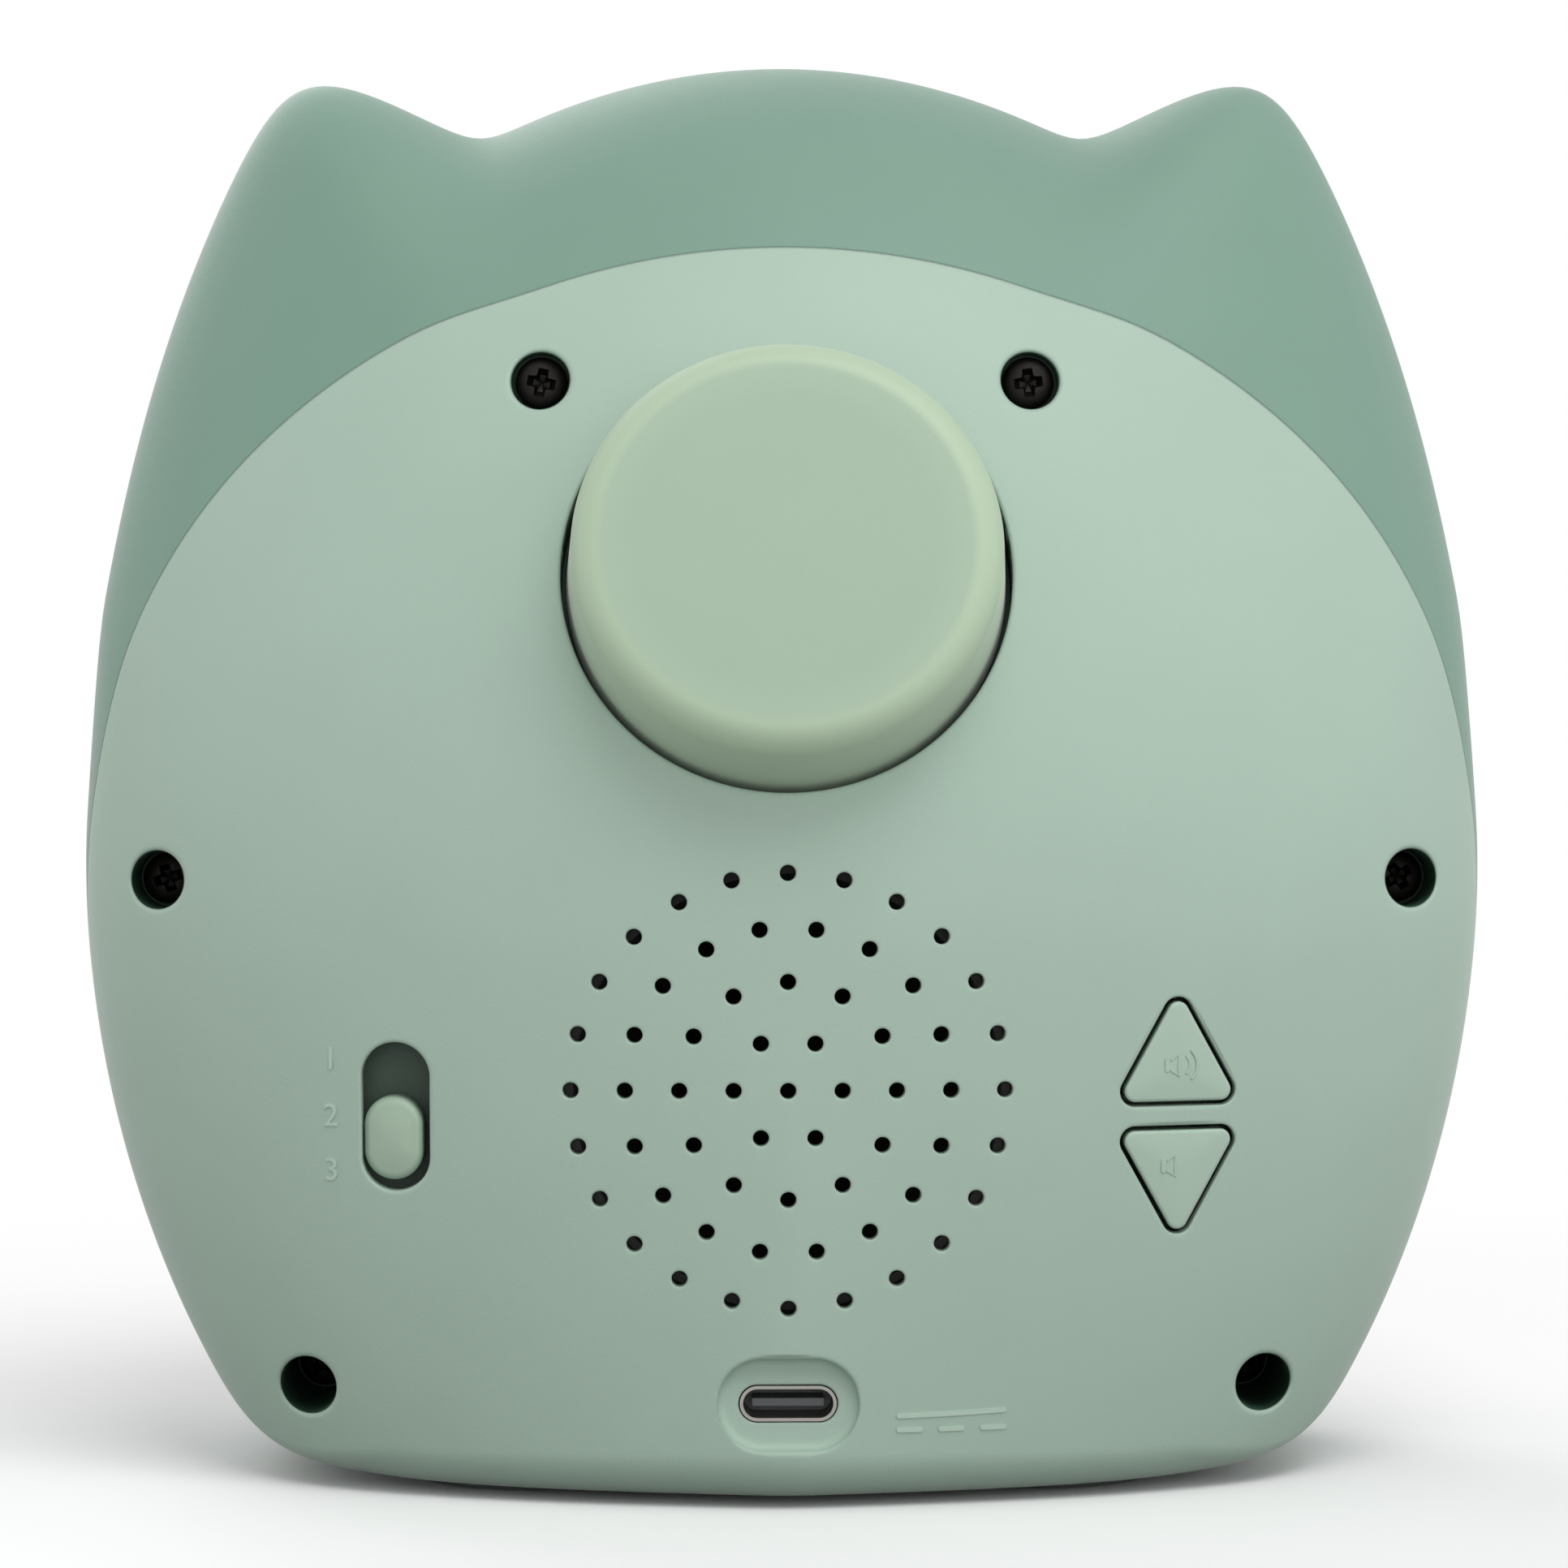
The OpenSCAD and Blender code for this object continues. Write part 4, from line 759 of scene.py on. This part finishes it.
def rod(x, z, d, y0, y1, n=48):
    """Cylinder of diameter d along Y, from y0 to y1."""
    bpy.ops.mesh.primitive_cylinder_add(vertices=n, radius=d / 2 * MM, depth=(y1 - y0) * MM,
                                        location=(x * MM, (y0 + y1) / 2 * MM, z * MM),
                                        rotation=(math.pi / 2, 0, 0))
    return place(bpy.context.object)


def tube(x, z, r_in, r_out, y0, off):
    """Wall round a hole along Y, from y0 up to off below the skin."""
    def ring(r, y):
        xz = circle(x, z, 2 * r)(0)
        return row(xz, skin_y(xz[:, 0], xz[:, 1]) - off if y is None else y)
    return loft("tube", [ring(r_in, y0), ring(r_in, None), ring(r_out, None), ring(r_out, y0),
                         ring(r_in, y0)])


TUBE_R, SEAT_D, SEAT_LOW, SEAT_TOP = 4.4, 8.0, 3.4, 2.05  # the seat lies under the screw's head
linings = [tube(x, z, SCREW_HOLE_D / 2 - 0.06, TUBE_R, y - 2.2, 0.45) for x, z, y in SCREWS]
linings += [rod(x, z, SEAT_D, y - SEAT_LOW, y - SEAT_TOP) for x, z, y in SCREWS]
lining = smooth(join(linings, "screw_bosses"), 30)
print("screw tubes", len(SCREWS), "faces", len(lining.data.polygons))

# %% Well and inlet floor
SHAFT_R, CUP_R, CUP_TOP, CUP_LOW, UNDER = 3.7, WELL_R + 1.5, -7, -9, 0.5
rows = [along_dial(SHAFT_R, CUP_TOP), along_dial(WELL_R, CUP_TOP),
        along_dial(WELL_R, skin_reach(WELL_R, UNDER)), along_dial(CUP_R, skin_reach(CUP_R, UNDER)),
        along_dial(CUP_R, CUP_LOW), along_dial(SHAFT_R, CUP_LOW), along_dial(SHAFT_R, CUP_TOP)]
well = loft("dial_well", rows, 30)
block = prism(stadium(17.5, 12.6) + (0, USB_Z), USB_Y - 3, USB_Y - 0.02)
block = boolean(block, prism(socket, IN_Y, 50))
block.name = "inlet_floor"
smooth(block, 30)
# the screw tubes and the dial's well take the painted shade
for o, key in ((rear, "light"), (lining, "hole_shade"), (well, "hole_shade"), (block, "light")):
    paint(o, key)
    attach(o, "case")
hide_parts("rear_shell")
print("well", [round(v / MM, 2) for v in well.dimensions])

# %% [markdown]
# ## Hood with ears
# The hood is a ring: skin from the parting plane round the widest outline to the front opening,
# then the inside back to the lip's rebate. It comes from the same skin function as the rear
# shell, so the two meet along one even line. A subdivided cage with creases would need many
# loops to hold that line.

# %% Hood
def ahead_rows(w, off, rho, fracs):
    """Rings from the parting plane (0) to the front opening (1), inset by w."""
    t0 = part_t(TH, w, off)
    return [skin(TH, t0 + (front_t(TH, rho) - t0) * f, w) for f in fracs]


rows = ahead_rows(0, -SEAM, OPEN_RHO, np.linspace(0, 1, 110))
rows += [skin(TH, front_t(TH, OPEN_RHO), WALL)]
rows += ahead_rows(WALL, -LIP - SEAM, OPEN_RHO + 0.01, np.linspace(1, 0, 10))
step = WALL - LIP_T - SEAM
rows += [skin(TH, part_t(TH, step, -LIP - SEAM), step), skin(TH, part_t(TH, step, -SEAM), step)]
hood = loft("hood_case", rows + [rows[0]], 32)
paint(hood, "hood")
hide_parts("hood")
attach(hood, "case")
print("hood", len(hood.data.polygons), [round(v, 4) for v in hood.dimensions])

# %% [markdown]
# ## Dial
# The real dial is round all over: one profile about its axis, hollow behind, with a bore for the
# shaft. A bevelled cylinder would come near from outside. Spinning the profile gives the inside
# too: a point is extruded along it and spun about Z, then the piece is tilted on to its axis.
# The rounded edge is painted paler than the face: a painted highlight for the light it catches.
# Every vertex gets a value for that, by its distance from the axis, and the material reads it, so
# the painted highlight stays on the dial as it turns.

# %% Turning a profile
def lathe(name, profile, steps=128, angle=30):
    """Turned piece about the local Z axis from points of radius and height in millimetres."""
    bpy.ops.mesh.primitive_plane_add(size=MM)
    o = bpy.context.object
    o.name = name
    o.data.name = name
    bpy.ops.object.mode_set(mode="EDIT")
    bpy.ops.mesh.select_all(action="SELECT")
    bpy.ops.mesh.merge(type="CENTER")
    at = Vector((0, 0, 0))
    for i, (r, h) in enumerate(profile):
        to = Vector((r * MM, 0, h * MM))
        if i == 0:
            bpy.ops.transform.translate(value=to - at)
        else:
            bpy.ops.mesh.extrude_region_move(TRANSFORM_OT_translate={"value": to - at})
        at = to
    bpy.ops.mesh.select_all(action="SELECT")
    bpy.ops.mesh.spin(steps=steps, angle=2 * math.pi, center=(0, 0, 0), axis=(0, 0, 1))
    bpy.ops.object.mode_set(mode="OBJECT")
    tidy(o)
    return smooth(o, angle)


print("one of 192 steps of the dial turns", 360 / 192, "degrees")

# %% Dial cap
DIAL_LOW_R, DIAL_TOP_R, DIAL_H, DIAL_ROUND = WELL_R - 0.45, WELL_R - 1.15, 7.8, 3.1
BORE_R, HUB_R, HUB_LOW = 3.03, 5.6, -3.0
prof = [(DIAL_LOW_R - 2, -6.1), (DIAL_LOW_R - 0.3, -6.1), (DIAL_LOW_R, -5.8)]
prof += [(DIAL_TOP_R - DIAL_ROUND * (1 - math.cos(a)), DIAL_H - DIAL_ROUND * (1 - math.sin(a)))
         for a in np.linspace(0, math.pi / 2, 18)]
prof += [(14, DIAL_H), (8, DIAL_H), (0, DIAL_H), (0, DIAL_H - 3.6), (BORE_R, DIAL_H - 3.6),
         (BORE_R, HUB_LOW), (HUB_R, HUB_LOW), (HUB_R, DIAL_H - 2),
         (DIAL_TOP_R - 4.2, DIAL_H - 2), (DIAL_TOP_R - 2.2, DIAL_H - 4), (DIAL_LOW_R - 2, -6.1)]
dial = lathe("dial_cap", prof, 192, 30)
dial.rotation_euler = (TILT - math.pi / 2, 0, 0)
dial.location = KNOB
paint(place(dial), "dial")
print("dial", [round(v / MM, 2) for v in dial.dimensions])

# %% Painted highlight on the edge
def paint_rim_highlight(o, colour):
    """Paints a highlight on the dial's rounded edge, weaker down its side."""
    at = np.array([v.co for v in o.data.vertices]) / MM - np.array(KNOB) / MM
    high = at @ np.array([0, math.cos(TILT), math.sin(TILT)])
    out = np.sqrt(np.maximum(0, (at ** 2).sum(1) - high ** 2))
    tint = ease((out - DIAL_TOP_R + DIAL_ROUND + 0.5) / 1.6)
    tint *= 1 - 0.6 * ease((DIAL_H - DIAL_ROUND - high) / 3)
    o.data.attributes.new("rim", "FLOAT", "POINT").data.foreach_set("value", tint)
    t = o.data.materials[0].node_tree
    base = t.nodes["Principled BSDF"].inputs["Base Color"]
    rim = node(t, "ShaderNodeAttribute", attribute_name="rim").outputs["Fac"]
    highlighted = node(t, "ShaderNodeMix", {0: rim, 6: base.links[0].from_socket, 7: lin(colour)},
                  data_type="RGBA")
    t.links.new(highlighted.outputs[2], base)
    return tint


# painted highlight: the dial's rounded edge is coloured paler than its face
tint = paint_rim_highlight(dial, "#acc1a6")
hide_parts("dial_knob")
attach(dial, "dial")
print("tinted vertices", int((tint > 0.5).sum()), "of", len(tint))

# %% [markdown]
# ## Slide switch cap and volume buttons
# Three small pads with a soft edge and a slight crown. Bevelling an extruded outline gives the
# edge, but its top would be flat, and these follow the shell's curve. So each is lofted from its
# outline to its middle, and its height is the skin's plus a crown.

# %% Pads
def pad(name, outline_at, y_low, proud, round_mm, crown):
    """Pad whose outline_at(inset) gives x, z points; its top follows the skin plus proud."""
    base = outline_at(0.0)
    mid = base.mean(0)

    def over(xz, dy):
        return row(xz, skin_y(xz[:, 0], xz[:, 1]) + dy)

    rows = [row(np.tile(mid, (len(base), 1)), y_low), row(base, y_low)]
    for a in np.linspace(0, math.pi / 2, 8):
        rows.append(over(outline_at(round_mm * (1 - math.cos(a))),
                         proud - round_mm * (1 - math.sin(a))))
    top = outline_at(round_mm)
    for f in (0.9, 0.8, 0.65, 0.5, 0.35, 0.2, 0.1, 0.0):
        rows.append(over(mid + (top - mid) * f, proud + crown * (1 - f * f)))
    return loft(name, rows, 40)


CAP, CAP_W, CAP_L = (SLOT[0] + 0.25, SLOT[1] - 2.05), 5.6, 7.8
cap = pad("slide_cap", lambda i: stadium(CAP_W - 2 * i, CAP_L - 2 * i) + np.array(CAP),
          25.0, -0.35, 0.9, 0.35)
up = pad("volume_up_pad", lambda i: tri_outline(True, -i), 24.3, 0.2, 0.35, 0.12)
down = pad("volume_down_pad", lambda i: tri_outline(False, -i), 24.3, 0.2, 0.35, 0.12)
for o, key, slot, body, cad in (
        (cap, "cap", "switch_cap", "switch_slider", "slide_switch_cap"),
        (up, "button", "volume_buttons", "volume_up", "volume_up_button"),
        (down, "button", "volume_buttons", "volume_down", "volume_down_button")):
    paint(o, key)
    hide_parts(cad)
    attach(o, body)
    print(o.name, [round(v / MM, 2) for v in o.dimensions])

# %% [markdown]
# ## Case screws
# Self-tapping screws with a low domed head and a cross recess. Head and ribbed shank are turned
# from one profile, and the recess is cut by a tapered cross. A true thread is a helix, but only
# its ribs could ever be seen, so rings are enough. One screw is made and copied to the six
# places, and each copy stopped at an angle of its own.

# %% One screw
HEAD_D, HEAD_T, SHANK_D, SHANK_L, CROSS = 4.9, 2.0, 2.6, 13.0, 2.75
DOME, RIBS, RIB_PITCH = 0.75, 14, 0.82
TURNS = [math.radians(a) for a in (6, -11, 32, 17, -24, 40)]


def cross_cutter():
    """Cross recess along local Z with tapered arms, its mouth at z 0."""
    a = np.linspace(0, 2 * math.pi, 96, endpoint=False)
    c, si = np.maximum(np.abs(np.cos(a)), 1e-6), np.maximum(np.abs(np.sin(a)), 1e-6)
    half_l, half_t = CROSS / 2, CROSS * 0.185
    bars = [np.minimum(half_l / p, half_t / q) for p, q in ((c, si), (si, c))]
    r = (bars[0] ** 7 + bars[1] ** 7) ** (1 / 7)

    def ring(k, z):
        return np.column_stack([k * r * np.cos(a), k * r * np.sin(a), np.full(96, z)])

    return loft("cross", [ring(0, 0.6), ring(1.14, 0.6), ring(1.12, 0.03), ring(1.0, -0.1),
                          ring(0.58, -1.0), ring(0.2, -1.15), ring(0, -1.3)])


def case_screw():
    """Screw along local Z with the top of its head at z 0."""
    low = -HEAD_T - SHANK_L
    shank = [(0, low)]
    for k in range(RIBS):
        rib = low + 0.6 + k * RIB_PITCH
        shank += [(SHANK_D / 2 - 0.28, rib), (SHANK_D / 2, rib + 0.22), (SHANK_D / 2, rib + 0.34)]
    neck = [(SHANK_D / 2 - 0.2, -HEAD_T), (HEAD_D / 2, -HEAD_T)]
    dome = [(HEAD_D / 2 * math.cos(a), -DOME + DOME * math.sin(a))
            for a in np.linspace(0, math.pi / 2, 9)]
    return boolean(lathe("case_screw", shank + neck + dome, 48, 40), cross_cutter())


first = case_screw()
print("one screw", len(first.data.polygons), [round(v / MM, 2) for v in first.dimensions])

# %% Six screws
def copy_at(o, turn, x, z, y):
    """Copy of the screw with its own mesh, turned and set at its seat."""
    only(o)
    bpy.ops.object.duplicate()
    c = bpy.context.object
    c.rotation_euler = (-math.pi / 2, turn, 0)
    c.location = Vector((x, y, z)) * MM
    return place(c)


screws = join([copy_at(first, turn, *at) for turn, at in zip(TURNS, SCREWS)], "case_screw_set")
bpy.data.objects.remove(first)
smooth(screws, 40)
paint(screws, "screw")
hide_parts("case_screws")
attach(screws, "case")
print("screws", len(screws.data.polygons), [round(v / MM, 2) for v in screws.dimensions])

# %% [markdown]
# ## Front panel
# The opal panel closes the hood's opening and carries on its curve. It could be cut from a
# stretched sphere, but its edge would not meet the hood's all round. So it comes from the same
# skin, a hair smaller. The window and the eyes and nose sit in shallow pockets, which are cut
# 0.1 mm wider than the pieces, as a real fit is.

# %% Panel and its pockets
DISP_Z, EYE_X, EYE_Z, NOSE_Z = 42.0, 21.0, 79.0, 67.0
WINDOW, EYE_D, NOSE, POCKET = (62.2, 25.2, 6.1), 10.2, (13.2, 8.0), 1.3  # pockets, 0.1 mm wide
r_p, r_f = OPEN_RHO - 0.006, 0.85  # edge of the panel, edge of its thick middle


def face(rho, w, f):
    """Ring of the front at the part f of the way from its middle out to rho, inset by w."""
    return skin(TH, 2 - (2 - front_t(TH, rho)) * f, w)


rows = [pole_row(FRONT_Y)] + [face(r_p, 0, f) for f in np.linspace(0.04, 1, 40)]
rows += [skin(TH, front_t(TH, r_p), WALL + 0.1), skin(TH, front_t(TH, r_f), WALL + 0.1)]
rows += [face(r_f, WALL + 1.4, f) for f in np.linspace(1, 0.1, 8)]
panel = loft("front_panel", rows + [pole_row(FRONT_Y + WALL + 1.4)], 32)


def round_rect(z, w, h, r, n=14):
    """Rounded rectangle about x 0 and height z, as x, z points."""
    out = []
    for sx, sz, a0 in ((1, 1, 0), (-1, 1, 90), (-1, -1, 180), (1, -1, 270)):
        out += [(sx * (w / 2 - r) + r * math.cos(a), z + sz * (h / 2 - r) + r * math.sin(a))
                for a in np.radians(np.linspace(a0, a0 + 90, n))]
    return np.array(out)


panel = boolean(panel, prism(round_rect(DISP_Z, *WINDOW), -OUT_Y, 0))
pockets = [rod(s * EYE_X, EYE_Z, EYE_D, -OUT_Y, FRONT_Y + POCKET, 64) for s in (-1, 1)]
pockets.append(prism(stadium(*NOSE) + (0, NOSE_Z), -OUT_Y, FRONT_Y + POCKET))
panel = smooth(boolean(panel, join(pockets, "pockets")), 32)
paint(panel, "opal")
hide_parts("diffuser")
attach(panel, "case")
print("panel", len(panel.data.polygons), [round(v / MM, 1) for v in panel.dimensions])

# %% [markdown]
# ## Display digits
# Behind the window an LED module shows the time with bars that light up. A text object has no
# such bars, so they are modelled: each is a thin six-sided prism, and a digit is the same bars at
# other places, so a list of places is enough. They read 08:00 from the front.

# %% Bars
SEG_L, SEG_W, SEG_T, MODULE_Y = 5.6, 1.3, 0.3, FRONT_Y + 5.1
STEP = (SEG_L + SEG_W) / 2 + 0.2
ZERO = ((0, 2), (-1, 1), (-1, -1), (0, -2), (1, -1), (1, 1))


def bar(x, z, level):
    """One bar of a digit, level or upright, centred at x, z."""
    a, b = SEG_L / 2 + 0.1, SEG_W / 2
    six = np.array([(a, 0), (a - b, b), (b - a, b), (-a, 0), (b - a, -b), (a - b, -b)])
    return prism((six if level else six[:, ::-1]) + (x, z), MODULE_Y - SEG_T, MODULE_Y)


bars = [rod(0, DISP_Z + z, 1.5, MODULE_Y - SEG_T, MODULE_Y, 32) for z in (-3, 3)]
for x, places in ((-20.0, ZERO), (-7.5, ZERO + ((0, 0),)), (7.5, ZERO), (20.0, ZERO)):
    bars += [bar(x + u * STEP, DISP_Z + v * STEP, u == 0) for u, v in places]
print("bars and dots", len(bars))
digits = smooth(join(bars, "display_bars"), 30)
paint(digits, "segment")
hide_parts("display_digits")
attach(digits, "case")

# %% [markdown]
# ## Marks
# The mould leaves small raised marks in the shell's own plastic: plain numbers for the three
# switch positions, the direct-current sign by the inlet and a loudspeaker sign on each button.
# A bump map could hint at them, but real ones catch the light on their sides. So each is made
# flat, from a text object or from strokes, and draped: its upper side is set a tenth of a
# millimetre above the skin, its lower side as far below.

# %% Draping
def on_skin(o, lift=0.12, sink=0.1, proud=0.0):
    """Drapes a flat mesh lying in the XZ plane, y 0 to 1 mm, on to the skin."""
    v = np.array([c.co for c in o.data.vertices]) / MM
    top = v[:, 1] > 0.5
    v[:, 1] = skin_y(v[:, 0], v[:, 2]) + proud + np.where(top, lift, -sink)
    o.data.vertices.foreach_set("co", (v * MM).reshape(-1))
    o.data.update()
    return o


print("skin under the middle number", round(float(skin_y(42.6, 35.9)), 2), "mm out")

# %% Numbers
def number(char, x, z, size):
    bpy.ops.object.text_add(location=(0, 0, 0))
    o = bpy.context.object
    o.data.body = char
    o.data.size = size * MM
    o.data.extrude = 0.5 * MM
    o.data.align_x = "CENTER"
    o.data.align_y = "CENTER"
    o.data.resolution_u = 6
    only(o)
    bpy.ops.object.convert(target="MESH")
    o = bpy.context.object
    o.rotation_euler = (math.pi / 2, 0, math.pi)
    o.location = (x * MM, 0.5 * MM, z * MM)
    return tidy(place(o), 1e-6)


NUMBER_X, NUMBER_SIZE = 42.6, 3.0
marks = [on_skin(number(c, NUMBER_X, z, NUMBER_SIZE))
         for c, z in (("1", 41.2), ("2", 35.9), ("3", 30.8))]
print("numbers", len(marks))

# %% Strokes
def stroke(points, width, n_end=6):
    """Flat round-ended stroke through x, z points, 1 mm thick from y 0."""
    p = np.array(points, float)
    d = np.gradient(p, axis=0)
    d /= np.linalg.norm(d, axis=1)[:, None]
    nrm = np.stack([-d[:, 1], d[:, 0]], -1) * width / 2

    def end(at, side):
        a0 = math.atan2(side[1], side[0])
        return [at + width / 2 * np.array([math.cos(a0 - t), math.sin(a0 - t)])
                for t in np.linspace(0, math.pi, n_end)[1:-1]]

    out = list(p + nrm) + end(p[-1], nrm[-1]) + list((p - nrm)[::-1]) + end(p[0], -nrm[0])
    flat = np.array([[x, 0.0, z] for x, z in out])
    bpy.ops.mesh.primitive_circle_add(vertices=len(flat), radius=MM, fill_type="NGON")
    o = bpy.context.object
    o.data.vertices.foreach_set("co", (flat * MM).reshape(-1))
    bpy.ops.object.mode_set(mode="EDIT")
    bpy.ops.mesh.select_all(action="SELECT")
    bpy.ops.mesh.extrude_region_move(TRANSFORM_OT_translate={"value": (0, MM, 0)})
    bpy.ops.mesh.select_all(action="SELECT")
    bpy.ops.mesh.quads_convert_to_tris()
    bpy.ops.mesh.normals_make_consistent(inside=False)
    bpy.ops.object.mode_set(mode="OBJECT")
    return o


LINE_W, SIGN_W = 0.45, 0.28
print("line", LINE_W, "sign", SIGN_W, "mm wide")

# %% Direct-current sign
marks.append(on_skin(stroke([(-10.2, 8.6), (-15, 8.7), (-20.0, 8.9)], LINE_W)))
for x in (-11.2, -15.1, -19.0):
    marks.append(on_skin(stroke([(x + 1, 7.3), (x, 7.3), (x - 1, 7.3)], LINE_W)))
marks = join(marks, "shell_marks")
paint(marks, "marks")
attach(marks, "case")
print("marks", len(marks.data.polygons))

# %% Loudspeaker signs
def arc(z, r):
    """Quarter circle of radius r, opening sideways at height z."""
    return [(r * math.cos(t), z + r * math.sin(t)) for t in np.radians(np.linspace(-45, 45, 9))]


def speaker_sign(x, z, waves, name, body):
    """Plain loudspeaker that opens towards -X, which is to the right from the control side."""
    bits = [stroke([(x + 1.3, z - 0.45), (x + 1.3, z), (x + 1.3, z + 0.45)], 0.5),
            stroke([(x + 0.9, z - 0.5), (x + 0.2, z - 1.0), (x + 0.2, z), (x + 0.2, z + 1.0),
                    (x + 0.9, z + 0.5)], SIGN_W)]
    bits += [stroke([(x + 0.2 - u, v) for u, v in arc(z, r)], SIGN_W) for r in waves]
    o = join([on_skin(b, 0.08, 0.1, 0.28) for b in bits], name)
    paint(o, "button")
    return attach(o, body)


speaker_sign(-36.6, 40.7, (1.1, 1.8), "louder_sign", "volume_up")
speaker_sign(-36.3, 31.3, (), "softer_sign", "volume_down")
print("signs", 2)

# %% [markdown]
# ## Floor
# A sheet of matt white paper. Lighting it up to pure white would bleach the clock too, so it has
# two colours: nearly white for what the camera, a gloss or a clear piece looks at, and a grey for
# the light that it throws on the clock. Further out it fades into an even white glow.

# %% Paper floor
def seen(tree):
    """Output that is 1 for what the camera, a gloss or a clear piece looks at."""
    path = node(tree, "ShaderNodeLightPath")
    a = node(tree, "ShaderNodeMath", {0: path.outputs["Is Camera Ray"],
                                      1: path.outputs["Is Glossy Ray"]}, operation="MAXIMUM")
    b = node(tree, "ShaderNodeMath", {0: a.outputs["Value"],
                                      1: path.outputs["Is Transmission Ray"]},
             operation="MAXIMUM")
    return b.outputs["Value"]


bpy.ops.mesh.primitive_plane_add(size=6, location=(0, 0, -0.0001))
floor = bpy.context.object
floor.name = "floor"
paper = bpy.data.materials.new("Paper_white_matte")
paper.use_nodes = True
t = paper.node_tree
looked_at = seen(t)
tone = node(t, "ShaderNodeMix", {0: looked_at, 6: lin("#868686"), 7: lin("#fdfdfd")},
            data_type="RGBA")
matt = fill(t.nodes["Principled BSDF"], {"Base Color": tone.outputs[2], "Roughness": 0.9})
away = node(t, "ShaderNodeVectorMath",
            {0: node(t, "ShaderNodeTexCoord").outputs["Object"]}, operation="LENGTH")
SHADOW_NEAR, SHADOW_FAR = 0.09, 0.32  # the shadow ends between these distances
fade = node(t, "ShaderNodeMapRange", {"Value": away.outputs["Value"], "From Min": SHADOW_NEAR,
                                      "From Max": SHADOW_FAR}, interpolation_type="SMOOTHSTEP")
gain = node(t, "ShaderNodeMapRange", {"Value": looked_at, "To Min": 0.75, "To Max": 1.0})
glow = node(t, "ShaderNodeEmission", {"Color": (1, 1, 1, 1), "Strength": gain.outputs["Result"]})
both = node(t, "ShaderNodeMixShader", {"Fac": fade.outputs["Result"], 1: matt.outputs["BSDF"],
                                       2: glow.outputs["Emission"]})
fill(t.nodes["Material Output"], {"Surface": both.outputs["Shader"]})
floor.data.materials.append(paper)
print("floor", [round(v, 2) for v in floor.dimensions])

# %% [markdown]
# ## Surround and lamps
# The world is plain white where it is looked at and half as strong as a light. A picture of a
# room could light the clock, but it needs a file, and its lamps could not be moved. So the lamps
# are large soft boxes, as on a product table: a key above the camera, a low one that lifts the
# shade under the dial, two weak ones for the sides, and one in front for the face.

# %% World
world = bpy.data.worlds.new("studio")
bpy.context.scene.world = world
world.use_nodes = True
t = world.node_tree
soft = fill(t.nodes["Background"], {"Color": (1, 1, 1, 1), "Strength": 0.46})
white = node(t, "ShaderNodeBackground", {"Color": (1, 1, 1, 1), "Strength": 1.0})
both = node(t, "ShaderNodeMixShader", {"Fac": seen(t), 1: soft.outputs["Background"],
                                       2: white.outputs["Background"]})
fill(t.nodes["World Output"], {"Surface": both.outputs["Shader"]})
print("world", soft.inputs["Strength"].default_value, "as a light")

# %% Soft boxes
def soft_box(name, where, size, power, aim=(0, 0, 0.07)):
    """Rectangular area lamp, aimed at the middle of the clock."""
    bpy.ops.object.light_add(type="AREA", location=where)
    o = bpy.context.object
    o.name = name
    o.data.shape = "RECTANGLE"
    o.data.size, o.data.size_y = size
    o.data.energy = power
    o.rotation_euler = (Vector(aim) - Vector(where)).to_track_quat("-Z", "Y").to_euler()
    return o


lamps = [soft_box("key_box", (-0.25, 0.60, 1.00), (0.8, 0.6), 5.9),
         soft_box("fill_box", (-0.9, 0.7, 0.35), (0.6, 0.8), 1.4),
         soft_box("low_box", (-0.12, 1.2, 0.10), (1.2, 0.8), 4.6),
         soft_box("side_box", (1.0, 0.0, 0.30), (0.5, 0.6), 1.1),
         soft_box("far_side_box", (-1.0, 0.0, 0.30), (0.5, 0.6), 0.7),
         soft_box("front_box", (0.5, -0.9, 0.8), (0.8, 0.8), 4.0)]
print("lamps", len(lamps), "watts", sum(o.data.energy for o in lamps))

# %% [markdown]
# ## Camera
# A long lens from half a metre away, level with the middle of the clock and square to its control
# side, less a degree of turn. A wide lens up close would swell the dial, and one from far away
# would flatten the ears, so distance and lens belong together.

# %% Camera
TURN, ROLL = math.radians(-0.7575), math.radians(0.074)
bpy.ops.object.camera_add(location=(0.00591, 0.45643, 0.06686),
                          rotation=(math.pi / 2, ROLL, math.pi + TURN))
cam = bpy.context.object
cam.name = "camera"
cam.data.lens, cam.data.sensor_width = 105.39, 36
bpy.context.scene.camera = cam
bpy.context.scene.view_settings.view_transform = "Standard"
print("camera", [round(v, 3) for v in cam.location])
